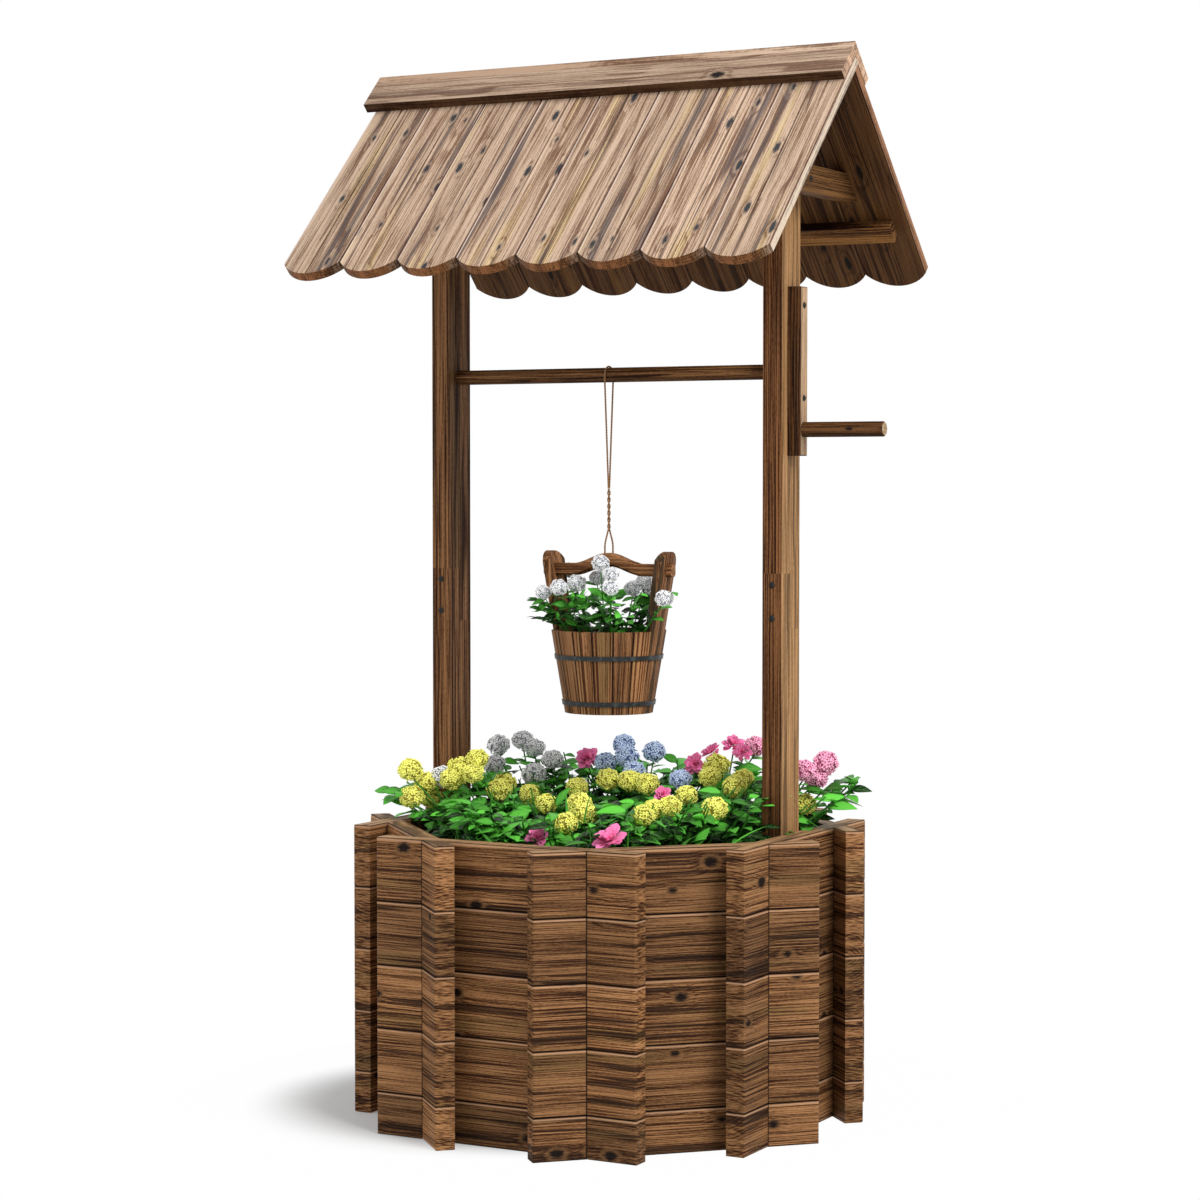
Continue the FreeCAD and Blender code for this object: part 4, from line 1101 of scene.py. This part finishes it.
class WELL_OT_bucket(bpy.types.Operator):
    """Finish the bucket's staves, ears, floor, handle bar and hoops"""
    bl_idname = "well.bucket"
    bl_label = "Bucket"

    def execute(self, context):
        timber = context.scene.wishing_well.timber
        finish_nodes(["bucket_staves"], charred_fir(
            "stave fir", timber.bucket, stave_radius=STAVE_RADIUS, width=STAVE_PITCH, lines=STAVE_JOINTS,
            boards=(1, STAVE_PITCH, STAVE_START), seed=51.0, knots=0.12, contrast=timber.contrast * 0.8,
            tone_spread=0.25, ring=3 * MM, knot_cell=(60 * MM, 22 * MM), band=((0.55, 0.72, 0.6), 0.6),
            soot="#2F2D28", hair=(4, 560), through=0.05))
        finish_nodes(["bucket_ear_left", "bucket_ear_right", "bucket_floor"], charred_fir(
            "ear fir", timber.bucket, grain=UPRIGHT, boards=(2, 0.5, 0.0), width=36 * MM, seed=57.0,
            contrast=timber.contrast * 0.9, scorch=0.6, knots=0.1, soot="#3D3A2C", through=0.1))
        finish_nodes(["bucket_handle_bar"], charred_fir(
            "handle bar fir", timber.bucket, width=14 * MM, centre=(0.6, 0.0), seed=61.0,
            contrast=timber.contrast * 0.7, knots=0.0, scorch=0.2))
        finish_nodes(["bucket_hoop_lower", "bucket_hoop_upper"], hoop_steel())
        return {"FINISHED"}


# Planting

# Flower heads, leafy tops and open flowers (these with their radius), in millimetres from the frame's origin
TUB_HEADS = {
    "yellow": [(-205, -85, 368), (-206, -49, 350), (-205, -82, 338), (-205, -40, 332), (-146, -41, 379),
               (-165, -45, 368), (-140, -59, 365), (-168, -57, 357), (-137, -9, 342), (-141, 11, 348),
               (-101, -2, 339), (-61, -36, 333), (-52, 17, 347), (-22, 34, 356), (7, 30, 356), (32, 24, 354),
               (-18, -40, 335), (5, -70, 329), (0, -103, 322), (98, 61, 374), (101, 38, 364), (143, 34, 364),
               (141, 17, 357), (95, -6, 348), (80, -53, 337), (95, -46, 339), (77, -73, 332), (151, -53, 341),
               (196, 76, 335)],
    "white": [(-197, 93, 382), (-175, 111, 387), (-152, 98, 380), (-116, 76, 370), (-122, 44, 356),
              (-185, 63, 362), (-192, -39, 357)],
    "blue": [(-44, 69, 371), (-41, 107, 388), (6, 90, 383), (-23, 80, 377), (0, 53, 365), (67, 34, 360)],
    "pink": [(125, 103, 393), (216, 88, 380), (205, 59, 374), (207, 83, 365)],
}
LEAFY_TOPS = [(226, 70, 356), (234, 48, 348), (222, 26, 340), (230, 92, 362), (196, 104, 372), (176, 92, 378),
              (-224, -62, 352), (-232, -34, 338), (-216, -94, 346), (-222, -70, 330), (-210, -20, 340),
              (20, 120, 372), (-14, 112, 366), (48, 108, 370), (-96, 104, 368), (-60, 110, 362)]
FAR_TOPS = [(248, 92, 356), (252, 70, 350), (240, 112, 362), (246, 50, 344), (256, 84, 362), (-236, -80, 344)]
OPEN_FLOWERS = [(-72, 78, 373, 15), (97, 105, 393, 13), (130, 61, 390, 11), (79, 88, 385, 13),
                (70, 65, 374, 13), (66, -6, 347, 10), (86, -164, 315, 19), (-8, -150, 311, 13)]
BUCKET_HEADS = [(-67, -32, 564), (-43, -40, 570), (-32, -20, 574), (-60, 18, 587), (1, -27, 597), (19, -36, 585),
                (-27, 18, 579), (23, -44, 571), (15, 22, 568), (25, 32, 575), (30, 36, 566), (80, -30, 560)]
BUCKET_TIPS = [(-78, -30, 557), (-72, -36, 546), (-77, -30, 536), (90, -28, 567), (-52, 10, 572), (52, 14, 570),
               (46, -16, 566), (-30, -40, 560)]
# Deep and pale tone of each colour; the deep tone is the florets' eyes and painted shade beneath and between them
PETALS = {"yellow": ("#96820C", "#FFFF80"), "white": ("#7B7F8E", "#FFFFFF"), "blue": ("#1C3A8A", "#D2E4FF"),
          "pink": ("#941A42", "#FFB4D4")}


# Shares of the way up a stem at which its leaves sit
TUB_SHARES = np.array([0.3, 0.45, 0.58, 0.7, 0.8, 0.88, 0.93, 0.97])
BUCKET_SHARES = np.array([0.2, 0.35, 0.5, 0.62, 0.74, 0.85, 0.93, 0.99])
TOPS_REACH, LOW_REACH, BLADES_REACH = 200 * MM, 206 * MM, 185 * MM
BUCKET_SOIL = 510 * MM         # height of the bucket's soil
BUCKET_RIM = 526 * MM          # leaves with their ends above it may reach over the staves
BUCKET_INSIDE = 51 * MM


def green_and_soil(settings):
    """Materials of leaves and of soil, made once."""
    green = bpy.data.materials.get("living leaf") or living_leaf(settings.young_leaf, settings.old_leaf)
    return green, bpy.data.materials.get("peat potting soil") or potting_soil()


class WELL_OT_tub_planting(bpy.types.Operator):
    """Fill the tub with soil, stems, leaves and flower heads"""
    bl_idname = "well.tub_planting"
    bl_label = "Tub planting"

    def execute(self, context):
        settings = context.scene.wishing_well.planting
        random = np.random.default_rng(settings.seed)
        green, soil = green_and_soil(settings)
        finish_nodes(["tub_soil"], soil)
        heads = np.concatenate([np.array(places) for places in TUB_HEADS.values()]) * MM
        for colour, places in TUB_HEADS.items():
            flower_heads("tub_flowers_" + colour, np.array(places) * MM, settings.head_radius,
                         petal("hydrangea petal " + colour, *PETALS[colour]), "root", random)
        magenta = petal("open flower petal", "#C81458", "#FF86BE")
        flowers, radii = np.array(OPEN_FLOWERS)[:, :3] * MM, np.array(OPEN_FLOWERS)[:, 3] * MM
        facing = np.array([0.25, -0.75, 0.6]) + random.normal(0, 0.25, flowers.shape)
        open_flowers("tub_flowers_open", flowers, facing, radii, magenta, "root", random)
        heads_and_flowers = np.concatenate([heads, flowers])
        self.greenery(heads_and_flowers, settings.soil_level, green, random)
        self.low_leaves(heads_and_flowers, settings.soil_level, green, random)
        self.blades(heads_and_flowers, settings.soil_level, green, random)
        return {"FINISHED"}

    def greenery(self, heads, soil_level, material, random):
        """Stems from the soil to every head and to leafy tops between them, and leaves up each stem."""
        count = 170
        a, reach = scatter(random, count, TOPS_REACH, 0.1)
        behind = 0.5 + 0.5 * np.sin(a) * reach / TOPS_REACH
        aside = np.abs(np.cos(a)) * reach / TOPS_REACH
        height = (308 + 36 * behind + 20 * aside + random.uniform(0, 22, count)) * MM
        tops = np.concatenate([heads - [0, 0, 7 * MM], disc_points(a, reach, height),
                               np.array(LEAFY_TOPS + FAR_TOPS) * MM])
        feet = tops * [0.72, 0.78, 0] + random.normal(0, 6 * MM, tops.shape) * [1, 1, 0]
        feet[:, 2] = soil_level - 4 * MM
        bend = random.normal(0, 5 * MM, tops.shape) * [1, 1, 0]
        stems("tub_stems", feet, tops, 1.3 * MM, bend, material, "root")
        places = up_stems(feet, tops, bend, TUB_SHARES)
        turn = random.uniform(0, math.pi, (len(tops), 1)) + np.arange(len(TUB_SHARES)) * 2.2
        forward = np.stack([np.cos(turn), np.sin(turn), random.uniform(-0.1, 0.5, turn.shape)], axis=-1)
        forward = forward + 0.3 * flat_unit(places)
        lengths = (15 + 19 * random.uniform(0, 1, turn.size) ** 1.6) * MM
        upward = random.normal(0, 0.3, (turn.size, 3)) + [0.1, -0.35, 1]
        leaves("tub_stem_leaves", places.reshape(-1, 3), forward.reshape(-1, 3), upward, lengths,
               leaf_shape(0.28, 0.22, 0.22), material, "root", random, 0.52, heads, 12 * MM)

    def low_leaves(self, heads, soil_level, material, random):
        """Leaves low over the whole tub, dark in the middle of the foliage as painted shade."""
        count = 640
        a, reach = scatter(random, count, LOW_REACH)
        height = random.uniform(6, 46, count) * MM * (1.0 - 0.45 * (reach / LOW_REACH) ** 2)
        places = disc_points(a, reach, soil_level + 6 * MM + height)
        forward = random.normal(0, 1, (count, 3)) * [1, 1, 0.35] + [0, 0, 0.25] + 0.5 * flat_unit(places)
        upward = random.normal(0, 0.3, (count, 3)) + [0, -0.2, 1]
        # Brightness 0.05: painted shade on the low leaves
        piece = leaves("tub_low_leaves", places, forward, upward, random.uniform(17, 29, count) * MM,
                       leaf_shape(0.25, 0.3, 0.2), material, "root", random, 0.05, heads, 11 * MM)
        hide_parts("tub_plants")

    def blades(self, heads, soil_level, material, random):
        """Thin arching blades between the other plants."""
        count = 90
        a, reach = scatter(random, count, BLADES_REACH, 0.1)
        places = disc_points(a, reach, np.full(count, soil_level))
        forward = random.normal(0, 0.5, (count, 3)) * [1, 1, 0] + [0, 0, 1.0] + 0.25 * flat_unit(places)
        upward = random.normal(0, 1, (count, 3)) + [0, 0, 0.1]
        leaves("tub_blades", places, forward, upward, random.uniform(40, 70, count) * MM,
               leaf_shape(0.035, 0.45, 0.1), material, "root", random, 0.45, heads, 11 * MM)


class WELL_OT_bucket_planting(bpy.types.Operator):
    """Fill the bucket with soil, stems, leaves and white flower heads"""
    bl_idname = "well.bucket_planting"
    bl_label = "Bucket planting"

    def execute(self, context):
        settings = context.scene.wishing_well.planting
        random = np.random.default_rng(settings.seed + 1)
        green, soil = green_and_soil(settings)
        name = "hydrangea petal white"
        white = bpy.data.materials.get(name) or petal(name, *PETALS["white"])
        soil_mound("bucket_soil", BUCKET_INSIDE, BUCKET_SOIL, 4 * MM, 14 * MM, soil, "bucket", random)
        heads = np.array(BUCKET_HEADS) * MM
        flower_heads("bucket_flowers", heads, settings.small_head_radius, white, "bucket", random,
                     florets=76)
        tops = np.concatenate([heads - [0, 0, 4 * MM], np.array(BUCKET_TIPS) * MM])
        feet = (tops - HANG) * [0.45, 0.45, 0] + HANG + [0, 0, BUCKET_SOIL - 3 * MM]
        bend = random.normal(0, 2 * MM, tops.shape) * [1, 1, 0]
        bend[len(heads):, 2] = 7 * MM
        stems("bucket_stems", feet, tops, 0.9 * MM, bend, green, "bucket")
        self.foliage(up_stems(feet, tops, bend, BUCKET_SHARES).reshape(-1, 3), heads, green, random)
        return {"FINISHED"}

    def foliage(self, places, heads, material, random):
        """Leaves up the stems and low between them, smaller on the outer tips, and none through the staves."""
        on_tips = slice(len(heads) * len(BUCKET_SHARES), len(places))
        low = 190
        a, reach = scatter(random, low, 50 * MM, 0.05)
        extra = HANG + disc_points(a, reach, BUCKET_SOIL + random.uniform(5, 50, low) * MM)
        places = np.concatenate([places, extra])
        count = len(places)
        outwards = flat_unit(places - HANG)
        forward = random.normal(0, 0.7, (count, 3)) * [1, 1, 0.5] + outwards * 0.8 + [0, 0, 0.25]
        upward = random.normal(0, 0.35, (count, 3)) + [0.1, -0.45, 1]
        # Painted shade: leaves are darker the nearer they sit to the soil
        lit_by_height = np.clip((places[:, 2] - BUCKET_SOIL) / (55 * MM), 0.0, 1.0)
        lengths = random.uniform(13, 21, count) * MM
        lengths[on_tips] *= 0.75
        ends = places + lengths[:, None] * (unit(forward) - 0.22 * unit(upward))
        away = np.linalg.norm((ends - HANG)[:, :2], axis=1)
        free = (ends[:, 2] > BUCKET_RIM) | (away < BUCKET_INSIDE)
        leaves("bucket_leaves", places[free], forward[free], upward[free], lengths[free],
               leaf_shape(0.27, 0.22, 0.2), material, "bucket", random, 0.55 * lit_by_height[free], heads, 8 * MM)


# Panel and registration

class WELL_PT_panel(bpy.types.Panel):
    """Sidebar panel of the wishing well planter"""
    bl_idname = "WELL_PT_panel"
    bl_label = "Wishing Well"
    bl_space_type = "VIEW_3D"
    bl_region_type = "UI"
    bl_category = "Wishing Well"

    def draw(self, context):
        settings = context.scene.wishing_well
        for operator in OPERATORS:
            self.layout.operator(operator.bl_idname)
        for group in (settings.timber, settings.twine, settings.planting, settings.stage):
            column = self.layout.column()
            for name in group.__annotations__:
                column.prop(group, name)


OPERATORS = (WELL_OT_stage, WELL_OT_twine, WELL_OT_tub, WELL_OT_frame, WELL_OT_roof, WELL_OT_bucket,
             WELL_OT_tub_planting, WELL_OT_bucket_planting)
CLASSES = (TimberSettings, TwineSettings, PlantingSettings, StageSettings, WishingWellSettings) + OPERATORS + (
    WELL_PT_panel,)


def register():
    for entry in CLASSES:
        bpy.utils.register_class(entry)
    bpy.types.Scene.wishing_well = PointerProperty(type=WishingWellSettings)


def unregister():
    del bpy.types.Scene.wishing_well
    for entry in reversed(CLASSES):
        bpy.utils.unregister_class(entry)


def main():
    register()
    bpy.ops.well.stage()
    bpy.ops.well.twine()
    bpy.ops.well.tub()
    bpy.ops.well.frame()
    bpy.ops.well.roof()
    bpy.ops.well.bucket()
    bpy.ops.well.tub_planting()
    bpy.ops.well.bucket_planting()


if __name__ == "__main__":
    main()
